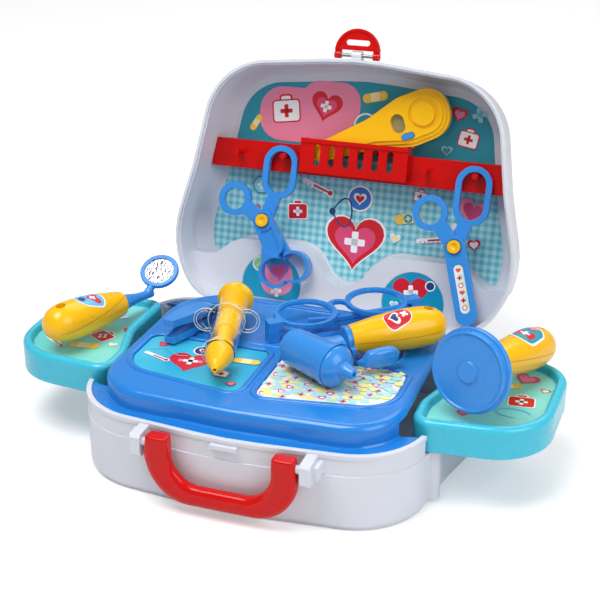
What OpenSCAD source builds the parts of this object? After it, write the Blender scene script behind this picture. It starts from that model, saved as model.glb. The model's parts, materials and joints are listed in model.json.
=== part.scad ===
// Toy doctor case: an open carry case with a hinged lid, two swing-out
// side trays, a carry handle, a latch and a set of play instruments.
// Units are millimetres, +Z is up, the front (handle side) faces -Y.
// The origin is the middle of the underside of the lower shell.

/* [Case] */
// Width of the case across the hips
case_w = 240; // [190:1:300]
// Depth of the case from the handle side to the hinge side
case_d = 174.7; // [145:0.1:215]
// Height of the lower shell
base_h = 48; // [42:1:62]
// Wall of the shells
wall = 2.4; // [1.8:0.1:3.2]

/* [Lid] */
// Depth of the lid shell
lid_h = 41; // [38:1:56]
// Lean of the open lid past upright, degrees
lid_lean = 15.4; // [8:0.1:20]
// Depth of the raised floor beside the hinge
shelf_dep = 18; // [16:0.5:22]

/* [Deck] */
// Rise of the deck plateau over the rim
deck_rise = 12.4; // [11:0.1:16]
// Thickness of the deck plate
deck_t = 2.2; // [1.8:0.1:3]

/* [Side trays] */
// Height of a side tray
tray_h = 19.5; // [16:0.5:23]
// Depth of the hollow in a side tray
tray_dep = 5; // [3:0.5:7]
// Radius of the post a side tray turns on
post_r = 3; // [2.4:0.1:4]

/* [Handle and latch] */
// Half width of the carry handle at its widest
grip_half = 46.5; // [40:0.5:52]
// Thickness of the carry handle
handle_t = 9; // [7:0.5:10]
// Radius of the pivots of the handle
pivot_r = 2.4; // [1.8:0.1:3]
// Half width of the latch
latch_half = 15.4; // [13:0.2:19]

/* [Instruments] */
// Length of the handle shared by three instruments
grip_len = 62; // [54:1:74]
// Largest radius of that handle
grip_r = 12.6; // [10.5:0.1:13.5]
// Outer radius of the syringe barrel
barrel_r = 9; // [7.5:0.1:10.5]
// Outer radius of a spectacle ring
lens_r = 20; // [17:0.5:22]

/* [Fits] */
// Radial play of a running fit
run = 0.06; // [0.03:0.01:0.1]
// Gap between neighbouring moving pieces
gap = 0.4; // [0.3:0.05:0.6]
// Seat left under a piece that lies on another
seat = 0.3; // [0.1:0.05:0.4]

/* [Hidden] */
kx = case_w/240;
ky = case_d/174.7;
km = min(kx, ky);
step = 7.5;
white = [0.95, 0.95, 0.97];
blue = [0.13, 0.45, 0.88];
deck_blue = [0.20, 0.52, 0.93];
cyan = [0.35, 0.78, 0.87];
red = [0.85, 0.08, 0.06];
yellow = [1.0, 0.80, 0.10];
steel = [0.55, 0.56, 0.58];
paper = [0.62, 0.88, 0.88];

case_p = [[0, -88.3*ky], [98.8*kx, -78.9*ky], [110.7*kx, -7.6*ky],
          [124.3*kx, 48.5*ky], [101.4*kx, 87.4*ky], [-101.4*kx, 87.4*ky],
          [-124.3*kx, 48.5*ky], [-110.7*kx, -7.6*ky], [-98.8*kx, -78.9*ky]];
case_r = [210*km, 45*km, 79*km, 62*km, 30*km, 30*km, 62*km, 79*km, 45*km];
front_y = -87.3*ky;
rear_y = 87.4*ky;
hinge_y = rear_y + 4.6;
hinge_z = base_h - 11.5;
hinge_x = 66*kx;
band_z = base_h - 13;
pin_r = 1.5;
knuckle_r = 4.1;

deck_z = base_h + deck_rise;
deck_low = deck_z - deck_t;
rim_top = base_h + 7.5;
tray_low = rim_top - tray_h;
fascia_z = rim_top + 0.8;
post_x = 104*kx;
post_y = -33*ky;
lobe = 11*km;
panel_z = deck_z - 0.5;
label_t = 0.3;
label_z = panel_z + label_t;
bead_z = deck_z + 1.2;
pocket_z = deck_z - 1;

lip_z = base_h + 0.3;
floor_dep = lid_h - wall;
rail_dep = 26;
peg_s = 110*ky;
basket_half = 38.2;
basket_s = 100.6*ky;
latch_y = front_y - 2.6;
latch_z = base_h + 4.5;

handle_y = front_y - 5.7;
handle_z = base_h - 6;
ear_x = grip_half*kx + gap;

function unit(v) = v/norm(v);
function cross2(a, b) = a[0]*b[1] - a[1]*b[0];
function left_of(v) = [-v[1], v[0]];
function nxt(p, i) = p[(i + 1)%len(p)];
function prv(p, i) = p[(i + len(p) - 1)%len(p)];
function turn_of(a, b) = ((b - a + 540)%360) - 180;
function arc_pts(o, p, q, r) =
    let (a0 = atan2(p[1] - o[1], p[0] - o[0]),
         a1 = atan2(q[1] - o[1], q[0] - o[0]),
         t = turn_of(a0, a1),
         n = max(1, ceil(abs(t)/step)))
    [for (i = [0:n]) o + r*[cos(a0 + t*i/n), sin(a0 + t*i/n)]];
function corner(a, b, c, r) =
    let (u = unit(a - b), v = unit(c - b), half = acos(u*v)/2,
         t = r/tan(half), o = b + unit(u + v)*(r/sin(half)))
    arc_pts(o, b + u*t, b + v*t, r);
function rounded(p, r) =
    [for (i = [0:len(p) - 1]) each corner(prv(p, i), p[i], nxt(p, i), r[i])];
function inset_p(p, t) =
    [for (i = [0:len(p) - 1])
        let (n1 = left_of(unit(p[i] - prv(p, i))), n2 = left_of(unit(nxt(p, i) - p[i])))
        p[i] + t*(n1 + n2)/(1 + n1*n2)];
function inset_r(p, r, t) =
    [for (i = [0:len(p) - 1])
        cross2(p[i] - prv(p, i), nxt(p, i) - p[i]) > 0 ? max(r[i] - t, 0.4) : r[i] + t];
function flip(p) = [for (i = [len(p) - 1:-1:0]) [-p[i][0], p[i][1]]];

module shape(p, r, t = 0) {
    polygon(rounded(inset_p(p, t), inset_r(p, r, t)));
}
module slab(p, r, t, z0, z1) {
    translate([0, 0, z0]) linear_extrude(z1 - z0) shape(p, r, t);
}
module box(x0, x1, y0, y1, z0, z1) {
    translate([x0, y0, z0]) cube([x1 - x0, y1 - y0, z1 - z0]);
}
module rod(r, l, n = 40) {
    cylinder(r = r, h = l, $fn = n);
}
module rod_x(r, x0, x1, y, z, n = 40) {
    translate([x0, y, z]) rotate([0, 90, 0]) rod(r, x1 - x0, n);
}
module stadium(w, h) {
    translate([0, (h - w)/2]) circle(w/2, $fn = 40);
    translate([0, (w - h)/2]) circle(w/2, $fn = 40);
    square([w, h - w], center = true);
}
module mirrored() {
    children();
    mirror([1, 0, 0]) children();
}
module aim(p, az, el) {
    translate(p) rotate([0, 90 - el, az]) children();
}
module turned(p, n = 48) {
    rotate_extrude($fn = n) polygon(p);
}

// ---- lower shell -------------------------------------------------------
tray_sweep_y = rear_y - 20*ky;
module side_cut(t = 0) {
    mirrored() {
        box(90*kx - t, 135*kx, -46*ky - t, tray_sweep_y + t, band_z, base_h + 1);
        translate([post_x, post_y, band_z]) rod(lobe + 1.2, 20, 60);
    }
}
module base_shell() color(white) {
    difference() {
        union() {
            translate([0, 0, 3]) linear_extrude(band_z - 3) shape(case_p, case_r);
            linear_extrude(3) shape(case_p, case_r, 1.6);
            slab(case_p, case_r, 0.7, band_z, base_h - 2.5);
            slab(case_p, case_r, 0, base_h - 2.5, base_h);
        }
        slab(case_p, case_r, wall + 0.7, wall, base_h + 1);
        side_cut();
    }
    difference() {
        slab(case_p, case_r, wall, base_h - 4.6, base_h - 2.2);
        slab(case_p, case_r, wall + 2.4, base_h - 5, base_h);
        side_cut(1.2);
    }
    mirrored() {
        translate([post_x, post_y, wall - 0.2]) rod(6.2, tray_low - wall - seat + 0.2);
        translate([post_x, post_y, tray_low - 1]) rod(post_r, tray_h - tray_dep - 1);
        handle_bracket();
        for (x = [hinge_x - 14, hinge_x + 6.4]) base_knuckle(x, x + 7.6);
    }
    box(-5, 5, -2, 2, wall - 0.2, deck_low - seat);
    difference() {
        box(-8, 8, front_y - 2.4, front_y + 2, base_h - 5.4, base_h - 2.8);
        translate([0, front_y - 3.6, base_h - 1.6]) rotate([35, 0, 0]) cube([20, 4, 3], center = true);
    }
}
module handle_bracket() {
    difference() {
        union() {
            box(ear_x, 53*kx, handle_y - 4, front_y + 6.4*ky, base_h - 15, base_h - 1);
            box(ear_x, 56*kx, handle_y + 1, front_y + 6.4*ky, base_h - 12, base_h - 4);
            rod_x(pivot_r, ear_x - 5, ear_x + 1, handle_y, handle_z);
        }
        translate([49*kx, handle_y - 4, base_h - 15]) rotate([45, 0, 0]) cube([20, 3, 3], center = true);
        translate([49*kx, handle_y - 4, base_h - 1]) rotate([45, 0, 0]) cube([20, 2.4, 2.4], center = true);
    }
}
module base_knuckle(x0, x1) {
    difference() {
        union() {
            rod_x(knuckle_r, x0, x1, hinge_y, hinge_z);
            box(x0, x1, rear_y - 1.2, hinge_y, hinge_z - knuckle_r, hinge_z + 2.4);
        }
        rod_x(pin_r + 0.02, x0 - 1, x1 + 1, hinge_y, hinge_z, 32);
    }
}
module hinge_pin() color(steel) {
    rod_x(pin_r, hinge_x - 13.6, hinge_x + 13.6, hinge_y, hinge_z, 32);
}

// ---- deck --------------------------------------------------------------
deck_p = [[0, -76.4*ky], [91*kx, -71.5*ky], [91*kx, 76*ky],
          [-91*kx, 76*ky], [-91*kx, -71.5*ky]];
deck_r = [200*km, 33*km, 40*km, 40*km, 33*km];
panel_p = [[4.6*kx, -56.5*ky], [81.5*kx, -44.5*ky], [81.5*kx, -0.5*ky], [4.6*kx, -0.5*ky]];
panel_r = [7*km, 20*km, 7*km, 5*km];
pocket_p = [[-72*kx, 9*ky], [72*kx, 9*ky], [72*kx, 66*ky], [-72*kx, 66*ky]];
pocket_r = [8*km, 8*km, 30*km, 30*km];
module tray_deck() color(deck_blue) {
    difference() {
        union() {
            slab(deck_p, deck_r, 2.2, base_h - 2, deck_z);
            slab(deck_p, deck_r, 0.8, base_h - 2, deck_z - 0.8);
            slab(deck_p, deck_r, 0, base_h - 2, deck_z - 2.4);
            slab(case_p, case_r, wall + 0.7 + gap, base_h - 2, base_h - 0.5);
            mirrored() slab(panel_p, panel_r, -2.6, deck_z - 1, bead_z);
            slab(pocket_p, pocket_r, -2, deck_z - 1, deck_z + 0.7);
        }
        slab(deck_p, deck_r, 2.6, base_h - 3, deck_low);
        mirrored() {
            slab(panel_p, panel_r, 0, panel_z, bead_z + 1);
            box(70*kx, 130*kx, -47.6*ky, tray_sweep_y + 1.6, base_h - 4, fascia_z);
            translate([post_x, post_y, base_h - 4]) rod(lobe + 2, fascia_z - base_h + 4, 60);
        }
        slab(pocket_p, pocket_r, 0, pocket_z, deck_z + 2);
    }
}
module deck_label(side) color(side < 0 ? [0.25, 0.75, 0.92] : [0.94, 0.96, 0.90]) {
    mirror([side < 0 ? 1 : 0, 0, 0]) slab(panel_p, panel_r, 0.5, panel_z, label_z);
}

// ---- side trays --------------------------------------------------------
wing_q = [[-11, -11.6], [63, -4.6], [66, 77], [34, 92], [-1.5, 92], [-1.5, 46], [-11, 15]];
wing_p = [for (v = wing_q) v*km + [post_x, post_y]];
wing_r = [11*km, 36*km, 24*km, 20*km, 9*km, 40*km, 25*km];
module wing() color(cyan) {
    difference() {
        union() {
            slab(wing_p, wing_r, 0, tray_low, rim_top - 2.2);
            slab(wing_p, wing_r, 0.7, rim_top - 2.2, rim_top - 0.8);
            slab(wing_p, wing_r, 2.0, rim_top - 0.8, rim_top);
        }
        slab(wing_p, wing_r, 6.2, rim_top - tray_dep, rim_top + 1);
        slab(wing_p, wing_r, 5.0, rim_top - 1, rim_top + 1);
        difference() {
            slab(wing_p, wing_r, wall, tray_low - 1, rim_top - tray_dep - 2);
            translate([post_x, post_y, tray_low - 1]) rod(7.4, tray_h);
        }
        translate([post_x, post_y, tray_low - 1]) rod(post_r + run, tray_h - tray_dep - 0.4);
    }
}
module wing_label() color(paper) {
    slab(wing_p, wing_r, 6.8, rim_top - tray_dep, rim_top - tray_dep + label_t);
}

// ---- carry handle ------------------------------------------------------
hz = handle_z;
handle_out = [[-43.6*kx, hz + 5.6], [-grip_half*kx, hz - 14], [-33*kx, hz - 35.5],
              [33*kx, hz - 35.5], [grip_half*kx, hz - 14], [43.6*kx, hz + 5.6]];
handle_in = [[-31*kx, hz + 20], [-29.5*kx, hz - 12], [-21*kx, hz - 23.5],
             [21*kx, hz - 23.5], [29.5*kx, hz - 12], [31*kx, hz + 20]];
module carry_handle() color(red) {
    difference() {
        translate([0, handle_y + handle_t/2, 0]) rotate([90, 0, 0]) linear_extrude(handle_t)
            difference() {
                shape(handle_out, [5, 27*km, 25*km, 25*km, 27*km, 5]);
                shape(handle_in, [1, 15*km, 15*km, 15*km, 15*km, 1]);
            }
        mirrored() rod_x(pivot_r + run, ear_x - 5.4, 50*kx, handle_y, handle_z);
    }
}

// ---- lid, drawn closed and swung open ----------------------------------
module open_lid() {
    translate([0, hinge_y, hinge_z]) rotate([-90 - lid_lean, 0, 0])
        translate([0, -hinge_y, -hinge_z]) children();
}
module on_lid(x, s, dep) {
    open_lid() translate([x, hinge_y - s, base_h + dep]) rotate([180, 0, 0]) children();
}
roundel_x = 51.5*kx;
roundel_s = 19*ky;
roundel_r = 21.5*km;
shelf_q = [[-130, 38], [-98, 34], [-80, 49], [-26, 49], [0, 10], [26, 49], [80, 49], [98, 34],
           [130, 38], [130, -30], [-130, -30]];
shelf_p = [for (v = shelf_q) [v[0]*kx, hinge_y - v[1]*ky]];
shelf_r = [for (v = [1, 16, 20, 22, 18, 22, 20, 16, 1, 1, 1]) v*km];
mid_s = 108*ky;
module lid_bulk(t, u, z0, z1, zt, k) {
    difference() {
        union() {
            slab(case_p, case_r, t, z0, zt);
            translate([0, hinge_y - mid_s, zt]) linear_extrude(z1 - zt, scale = k)
                translate([0, mid_s - hinge_y]) shape(case_p, case_r, t);
        }
        slab(shelf_p, shelf_r, u, z0 - 1, z1 + 1);
    }
}
module lid_shell() color(white) open_lid() {
    difference() {
        union() {
            slab(case_p, case_r, 0, lip_z, lip_z + 4.5);
            slab(case_p, case_r, 0.8, lip_z + 4, base_h + shelf_dep + wall);
            lid_bulk(0.8, wall, base_h + shelf_dep, base_h + lid_h, base_h + 29, 0.93);
        }
        slab(case_p, case_r, 1.9, lip_z - 1, lip_z + 1.6);
        slab(case_p, case_r, wall + 0.8, lip_z - 1, base_h + shelf_dep);
        lid_bulk(wall + 0.8, 0, base_h + shelf_dep - 1, base_h + floor_dep, base_h + 29, 0.94);
        intersection() {
            translate([0, 0, base_h + shelf_dep - 1]) linear_extrude(1.7) roundels(0.6);
            slab(case_p, case_r, wall + 1.6, base_h, base_h + 60);
        }
    }
    mirrored() lid_knuckle();
    difference() {
        union() {
            box(-3.4, 3.4, front_y - 1, front_y + 2, latch_z - 3.4, latch_z + 6);
            rod_x(3.1, -3.4, 3.4, latch_y, latch_z);
            box(-3.4, 3.4, latch_y, front_y + 2, latch_z - 2.8, latch_z + 3.1);
        }
        rod_x(1.22, -5, 5, latch_y, latch_z, 24);
    }
}
module lid_knuckle() {
    x0 = hinge_x - 14 + 7.6 + gap;
    x1 = hinge_x + 6.4 - gap;
    difference() {
        union() {
            rod_x(knuckle_r, x0, x1, hinge_y, hinge_z);
            box(x0, x1, rear_y + 0.8, hinge_y + 2.2, hinge_z, base_h + 9);
            box(x0, x1, rear_y - 2, hinge_y + 2.2, lip_z + 0.2, base_h + 9);
            translate([0, hinge_y, hinge_z]) rotate([90 + lid_lean, 0, 0])
                box(x0 + 0.5, x1 - 0.5, -(hinge_y - rear_y) + 0.35, 2.8, -9.6, 0);
        }
        rod_x(pin_r + run, x0 - 1, x1 + 1, hinge_y, hinge_z, 32);
    }
}
module roundels(t) {
    translate([0, hinge_y - roundel_s]) mirrored() translate([roundel_x, 0])
        circle(roundel_r + t, $fn = 72);
}
module lid_label() color([0.30, 0.70, 0.76]) open_lid() {
    translate([0, 0, base_h + floor_dep - label_t - 0.02]) linear_extrude(label_t)
        difference() {
            shape(case_p, case_r, 13.5*km);
            shape(shelf_p, shelf_r, -1.6);
        }
}
module lid_roundel(side) color([0.10, 0.65, 0.78]) open_lid() {
    intersection() {
        translate([0, 0, base_h + shelf_dep + 0.7 - label_t]) linear_extrude(label_t) roundels(0.1);
        slab(case_p, case_r, wall + 1.9, base_h, base_h + 60);
        box(side < 0 ? -200 : 0, side < 0 ? 0 : 200, -10, 200, base_h, base_h + 60);
    }
}

// ---- rack inside the lid ------------------------------------------------
rail_half = 106.4*kx;
rail_s0 = 98.5*ky;
rail_s1 = rail_s0 + 20;
back_dep = floor_dep - label_t - 0.3;
module lid_box(x0, x1, s0, s1, d0, d1) {
    box(x0, x1, hinge_y - s1, hinge_y - s0, base_h + d0, base_h + d1);
}
module tool_rack() color(red) open_lid() {
    difference() {
        union() {
            intersection() {
                lid_box(-rail_half, rail_half, rail_s0, rail_s1, rail_dep, rail_dep + 2.4);
                slab(case_p, case_r, wall + 0.8 + gap, base_h, base_h + lid_h);
            }
            lid_box(-rail_half + 9, rail_half - 9, rail_s1 - 2.2, rail_s1, rail_dep, back_dep);
            lid_box(-rail_half + 9, rail_half - 9, rail_s0, rail_s0 + 2.2, rail_dep, back_dep - 2);
            lid_box(-basket_half, basket_half, basket_s, basket_s + 23.6, 17, rail_dep + 2.4);
            lid_box(-basket_half, basket_half, basket_s + 20.6, basket_s + 23.6, 16.2, 19);
            for (x = [-85, -50.5, 50.5, 85]) peg(x*kx);
        }
        lid_box(-basket_half + 2, basket_half - 2, basket_s + 3, basket_s + 40, 19, 34.5);
        for (i = [-2.5:1:2.5]) slot(i*basket_half*0.272);
    }
    mirrored() lid_box(basket_half - 2.2, basket_half, basket_s, basket_s + 17, 26, back_dep);
}
module slot(x) {
    translate([x, hinge_y - basket_s - 12.5, base_h + 15]) linear_extrude(5) stadium(4.4, 14.6);
}
module peg(x) {
    translate([x, hinge_y - peg_s, base_h + 15.6]) rod(2.1, rail_dep - 15);
}

// ---- latch --------------------------------------------------------------
module latch_pin() color(steel) open_lid() rod_x(1.2, -latch_half + 0.8, latch_half - 0.8,
    latch_y, latch_z, 24);
module latch() color(red) open_lid() translate([0, latch_y, latch_z]) rotate([180, 0, 0]) {
    difference() {
        union() {
            translate([0, 0, -1.3]) linear_extrude(2.6) intersection() {
                translate([0, 2.2]) scale([1, 1]) circle(latch_half, $fn = 72);
                translate([0, 13.4]) square([60, 20], center = true);
            }
            translate([0, 0, 1]) linear_extrude(1.1) difference() {
                intersection() {
                    translate([0, 2.2]) circle(latch_half, $fn = 72);
                    translate([0, 13.4]) square([60, 20], center = true);
                }
                intersection() {
                    translate([0, 2.2]) circle(latch_half - 1.8, $fn = 72);
                    translate([0, 15.2]) square([60, 20], center = true);
                }
            }
            mirrored() {
                rod_x(2.5, latch_half - 4.4, latch_half, 0, 0);
                box(latch_half - 4.4, latch_half, 0, 5, -1.3, 1.3);
            }
        }
        translate([0, 8.4, -3]) rotate([0, 0, 90]) linear_extrude(8) stadium(3.6, 16.6);
        rod_x(1.2 + run, -40, 40, 0, 0, 24);
    }
}

// ---- forceps and scissors hung on the rack ------------------------------
hang = 6.2;
riv_dep = 19.2;
module hung(x, s) {
    on_lid(x*kx, s, riv_dep) rotate([-hang, 0, 0]) children();
}
module ring_2d(x, y, r) {
    translate([x, y]) circle(r, $fn = 60);
}
module oval_2d(x, y, w, h) {
    translate([x, y]) stadium(w, h);
}
module bar_2d(a, b, w) {
    d = b - a;
    translate((a + b)/2) rotate([0, 0, atan2(d[1], d[0]) - 90]) stadium(w, norm(d) + w);
}
loop_w = 4;
arm_t = 4.5;
lay = arm_t + gap;
hub_r = 7;
rivet_r = 2.4;
module rivet() color(yellow) {
    translate([0, 0, 1]) rod(rivet_r, 2*arm_t + gap, 32);
    difference() {
        translate([0, 0, lay + arm_t + seat]) rod(4.4, 2.0, 40);
        translate([0, 0, lay + arm_t + seat + 4.4]) sphere(3.4, $fn = 32);
    }
}
module rivet_seat() {
    translate([0, 0, 1]) rod(rivet_r + 0.02, 10, 32);
}
module pivot_hole() {
    translate([0, 0, lay - 1]) rod(rivet_r + run, arm_t + 2, 32);
    translate([0, 0, lay + arm_t - 0.7]) difference() {
        rod(5.2, 2, 48);
        translate([0, 0, -1]) rod(3.2, 4, 32);
    }
}
claw_r = 11.6;
module half_claw(c, z0, z1, a) {
    translate([c[0], c[1], z0]) rotate([0, 0, a]) difference() {
        rod(claw_r, z1 - z0, 64);
        translate([0, 0, -1]) rod(claw_r - 2.2, z1 - z0 + 2, 64);
        translate([claw_r*0.45, -20, -1]) cube([40, 40, z1 - z0 + 2]);
    }
}
claw_back = [25.8, -29.5];
claw_front = [14.2, -34.2];
module forceps_back() color(blue) hung(-59.2, peg_s - 46.5) {
    difference() {
        linear_extrude(arm_t) difference() {
            union() {
                oval_2d(6.6, 35, 24.6, 37);
                bar_2d([4.6, 18], [0, 0], 9);
                bar_2d([0, 0], [15.4, -20.6], 11);
            }
            oval_2d(6.6, 35, 24.6 - 2*loop_w, 37 - 2*loop_w);
        }
        rivet_seat();
    }
    half_claw(claw_back, 0, 9, 195);
}
module forceps_front() color(blue) hung(-59.2, peg_s - 46.5) {
    difference() {
        translate([0, 0, lay]) linear_extrude(arm_t) difference() {
            union() {
                ring_2d(-22.6, 13, 11.8);
                bar_2d([-13, 7.6], [0, 0], 10);
                ring_2d(0, 0, hub_r);
                bar_2d([0, 0], [9.8, -17.2], 14.5);
                bar_2d([5, -17], [5.6, -25.4], 6.4);
            }
            ring_2d(-22.6, 13, 11.8 - loop_w);
        }
        pivot_hole();
        translate([0, 0, lay + arm_t - 1]) linear_extrude(3) difference() {
            bar_2d([2, -3.4], [9.8, -17.2], 8.4);
            ring_2d(0, 0, hub_r + 0.8);
        }
    }
    half_claw(claw_front, lay, lay + 8, 20);
}
module forceps_rivet() hung(-59.2, peg_s - 46.5) rivet();
blade_tip = [13.8, -44];
module scissors_at() {
    hung(84.4 - 6.9, peg_s - 48.5) children();
}
module scissors_back() color(blue) scissors_at() {
    difference() {
        linear_extrude(arm_t) difference() {
            union() {
                oval_2d(6.9, 35, 24.6, 40);
                bar_2d([4.6, 17.4], [0, 0], 9);
                bar_2d([0, 0], blade_tip*0.93, 11.6);
            }
            oval_2d(6.9, 35, 24.6 - 2*loop_w, 40 - 2*loop_w);
        }
        rivet_seat();
    }
}
module scissors_front() color(blue) scissors_at() {
    difference() {
        translate([0, 0, lay]) linear_extrude(arm_t) difference() {
            union() {
                ring_2d(-19.3, 20.7, 12);
                bar_2d([-11.5, 12.4], [0, 0], 10);
                ring_2d(0, 0, hub_r + 0.4);
                bar_2d([0, 0], blade_tip, 14.5);
            }
            ring_2d(-19.3, 20.7, 12 - loop_w);
        }
        pivot_hole();
        translate([0, 0, lay + arm_t - 1]) linear_extrude(2) blade_window(7);
    }
}
module blade_window(w) {
    bar_2d(blade_tip*0.33, blade_tip*0.91, w);
}
module scissors_label() color([0.75, 0.9, 0.92]) scissors_at()
    translate([0, 0, lay + arm_t - 1]) linear_extrude(label_t) blade_window(6.4);
module scissors_rivet() scissors_at() rivet();

// ---- thermometer in the basket -------------------------------------------
gauge_p = [[-17.5, -16], [14, -16.5], [38, -10], [83, -6], [83, 6], [38, 11], [14, 18.5], [-17.5, 17.5]];
gauge_r = [15.5, 20, 24, 5.8, 5.8, 24, 20, 16.5];
module gauge_at() {
    on_lid(44.7, basket_s + 47.2, 32) rotate([0, 0, 205]) children();
}
module gauge_back() color(yellow) gauge_at() {
    difference() {
        union() {
            slab(gauge_p, gauge_r, 1.4, 0, 1.4);
            slab(gauge_p, gauge_r, 0, 1.4, 5.6);
        }
        slab(gauge_p, gauge_r, 2, 2, 6);
    }
}
module gauge_front() color(yellow) gauge_at() {
    difference() {
        union() {
            slab(gauge_p, gauge_r, 0, 5.6, 9);
            slab(gauge_p, gauge_r, 2.2, 9, 10);
            slab(gauge_p, gauge_r, 4.6, 10, 11);
            translate([0, 0, 10.5]) rod(8, 1.5, 60);
        }
        slab(gauge_p, gauge_r, 2, 5, 8);
        translate([0, 0, 10.2]) difference() {
            rod(10.4, 2, 60);
            translate([0, 0, -1]) rod(8, 4, 60);
        }
        translate([18.6, 0.4, 0]) linear_extrude(20) stadium(9.4, 13);
        translate([14.6, 10.6, 0]) rotate([0, 0, 90 - 4]) linear_extrude(20) stadium(4.4, 9.4);
    }
}
module gauge_window() color([0.55, 0.55, 0.5]) gauge_at()
    translate([18.6, 0.4, 8 - 0.8]) linear_extrude(0.7) stadium(10.2, 13.8);
module gauge_button() color(blue) gauge_at()
    translate([14.6, 10.6, 6.4]) rotate([0, 0, 90 - 4]) {
        linear_extrude(5.6) stadium(3.8, 8.8);
        linear_extrude(0.9) stadium(5.6, 10.6);
    }

// ---- handle shared by three instruments ----------------------------------
gl = grip_len/62;
gr = grip_r/12.6;
grip_q = [[0, 0], [0, 8.2], [4, 8.9], [10, 9.9], [18, 11.1], [28, 12.1], [38, 12.6], [46, 12.5],
          [52, 11.7], [56.5, 10], [59.6, 7.6], [61.4, 4.6], [62, 0]];
grip_prof = [for (v = grip_q) [v[1]*gr, v[0]*gl]];
module grip_half_shell(up) color(yellow) {
    s = up ? -1 : 1;
    difference() {
        intersection() {
            turned(grip_prof);
            translate([up ? -40 : 0, -20, -1]) cube([40, 40, 90]);
        }
        translate([0, 0, -1]) rod(6.1, 30, 40);
        translate([0, 0, 28]) rod(8*gr, 15*gl, 40);
        translate([0, 0, 51*gl]) rotate([0, 90, 0]) translate([0, 0, -30]) rod(3.1, 60, 32);
    }
}

// ---- otoscope -------------------------------------------------------------
oto_az = -27.4;
oto_z = label_z + 13 + seat;
oto_p = [12.6*kx, -12.6*ky, oto_z];
oto_grip_p = [43*kx, 6*ky, oto_z + 0.6];
oto_grip_az = 38.5;
module oto_head() color(blue) {
    difference() {
        union() {
            aim(oto_p, oto_az, 0) turned([[0, 0], [9, 0], [10.6, 1], [11.2, 3], [12.2, 30], [12.2, 33.6],
                [13, 34], [13, 37], [0, 37]], 64);
            aim(oto_p + [19*cos(oto_az), 19*sin(oto_az), 0], 53, 1) turned([[0, 0], [8.8, 8], [7.6, 15],
                [7.2, 19.5], [0, 20]], 48);
        }
        aim(oto_p, oto_az, 0) translate([0, 0, 3]) rod(9.4, 40, 48);
        aim(oto_grip_p, oto_grip_az, 1) translate([0, 0, -4.2]) rod(8.6, 9, 40);
    }
}
module oto_cap() color(blue) aim(oto_p, oto_az, 0) {
    difference() {
        turned([[0, 33], [9.3, 33], [9.3, 37.1], [12.4, 37.1], [12.4, 38.4], [11.6, 39.6], [10, 41.6],
            [7.6, 43.4], [5, 44.4], [5, 45.8], [4.5, 46], [2.8, 51.4], [2.2, 52], [0, 52]], 64);
        translate([0, 0, 30]) rod(1.1, 30, 24);
        translate([0, 0, 32]) rod(7.2, 9, 48);
    }
}
lev_x = 4.8;
lev_y = -10.6;
module oto_collar() color(blue) aim(oto_grip_p, oto_grip_az, 1) {
    turned([[0, -4.1], [7.4, -4.1], [8.4, -3.4], [8.4, -1.6], [7.6, -0.9], [7.6, -0.1], [5.9, -0.1],
        [5.9, 12], [0, 12]], 48);
    box(1.4, lev_x - gap, lev_y - 2, -5, -3.6, -0.2);
    translate([1.6, lev_y, -2]) rotate([0, 90, 0]) rod(1.2, lev_x + 1.6, 24);
}
module oto_lever() color(blue) aim(oto_grip_p, oto_grip_az, 1) {
    difference() {
        union() {
            translate([lev_x, lev_y, -2]) rotate([0, 90, 0]) rod(2.6, 3.2, 32);
            translate([lev_x, lev_y, -2]) rotate([9, 0, 0]) box(0, 3.2, -2.4, 0, 0, 12);
            translate([lev_x - 2.9, lev_y, -2]) rotate([9, 0, 0]) translate([0, 0, 15])
                rotate([90, 0, 0]) translate([4.4, 0, 0]) linear_extrude(3) stadium(9, 20);
        }
        translate([lev_x - 1, lev_y, -2]) rotate([0, 90, 0]) rod(1.2 + run, 6, 24);
        translate([lev_x - 2.9, lev_y, -2]) rotate([9, 0, 0]) translate([0, -2.4, 15])
            rotate([90, 0, 0]) translate([4.4, 0, 0]) linear_extrude(3) stadium(2.2, 12);
    }
}

// ---- dental mirror on the left tray ---------------------------------------
mir_z = rim_top + seat + 9*gr;
mir_p = [post_x*-1 - 15*km, post_y + 58*km, mir_z];
mir_az = -108;
mir_el = asin(min(0.4, (12.6 - 8.3)*gr/(44*gl)));
module mir_at() {
    aim(mir_p, mir_az, mir_el) children();
}
ring_c = mir_p + [40*cos(74), 40*sin(74), 9];
module mirror_stem() color(blue) {
    mir_at() {
        turned([[0, -0.1], [0, -30], [2.6, -30], [3.2, -16], [5.2, -4], [6.6, -0.1]], 40);
        turned([[0, -0.2], [5.9, -0.2], [5.9, 12], [0, 12]], 40);
    }
    ring_at() difference() {
        turned([[9.9, -1.6], [12.4, -1.6], [13, -0.8], [13, 0.8], [12.4, 1.6], [9.9, 1.6], [9.9, 0.9],
            [10.6, 0.9], [10.6, -0.4], [0, -0.4], [0, -1.6]], 64);
    }
    difference() {
        aim(mir_p + [26*cos(72), 26*sin(72), -1.4], 76, 34) turned([[0, -2], [2.7, -2], [2.5, 8], [0, 8]], 32);
        ring_at() translate([0, 0, -0.4]) rod(10.6, 30, 48);
    }
}
module ring_at() {
    translate(ring_c) rotate([0, 0, 8]) rotate([34, 0, 0]) children();
}
module mirror_glass() color([0.8, 0.84, 0.86]) ring_at() translate([0, 0, -0.4]) rod(10.5, 1, 64);

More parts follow.
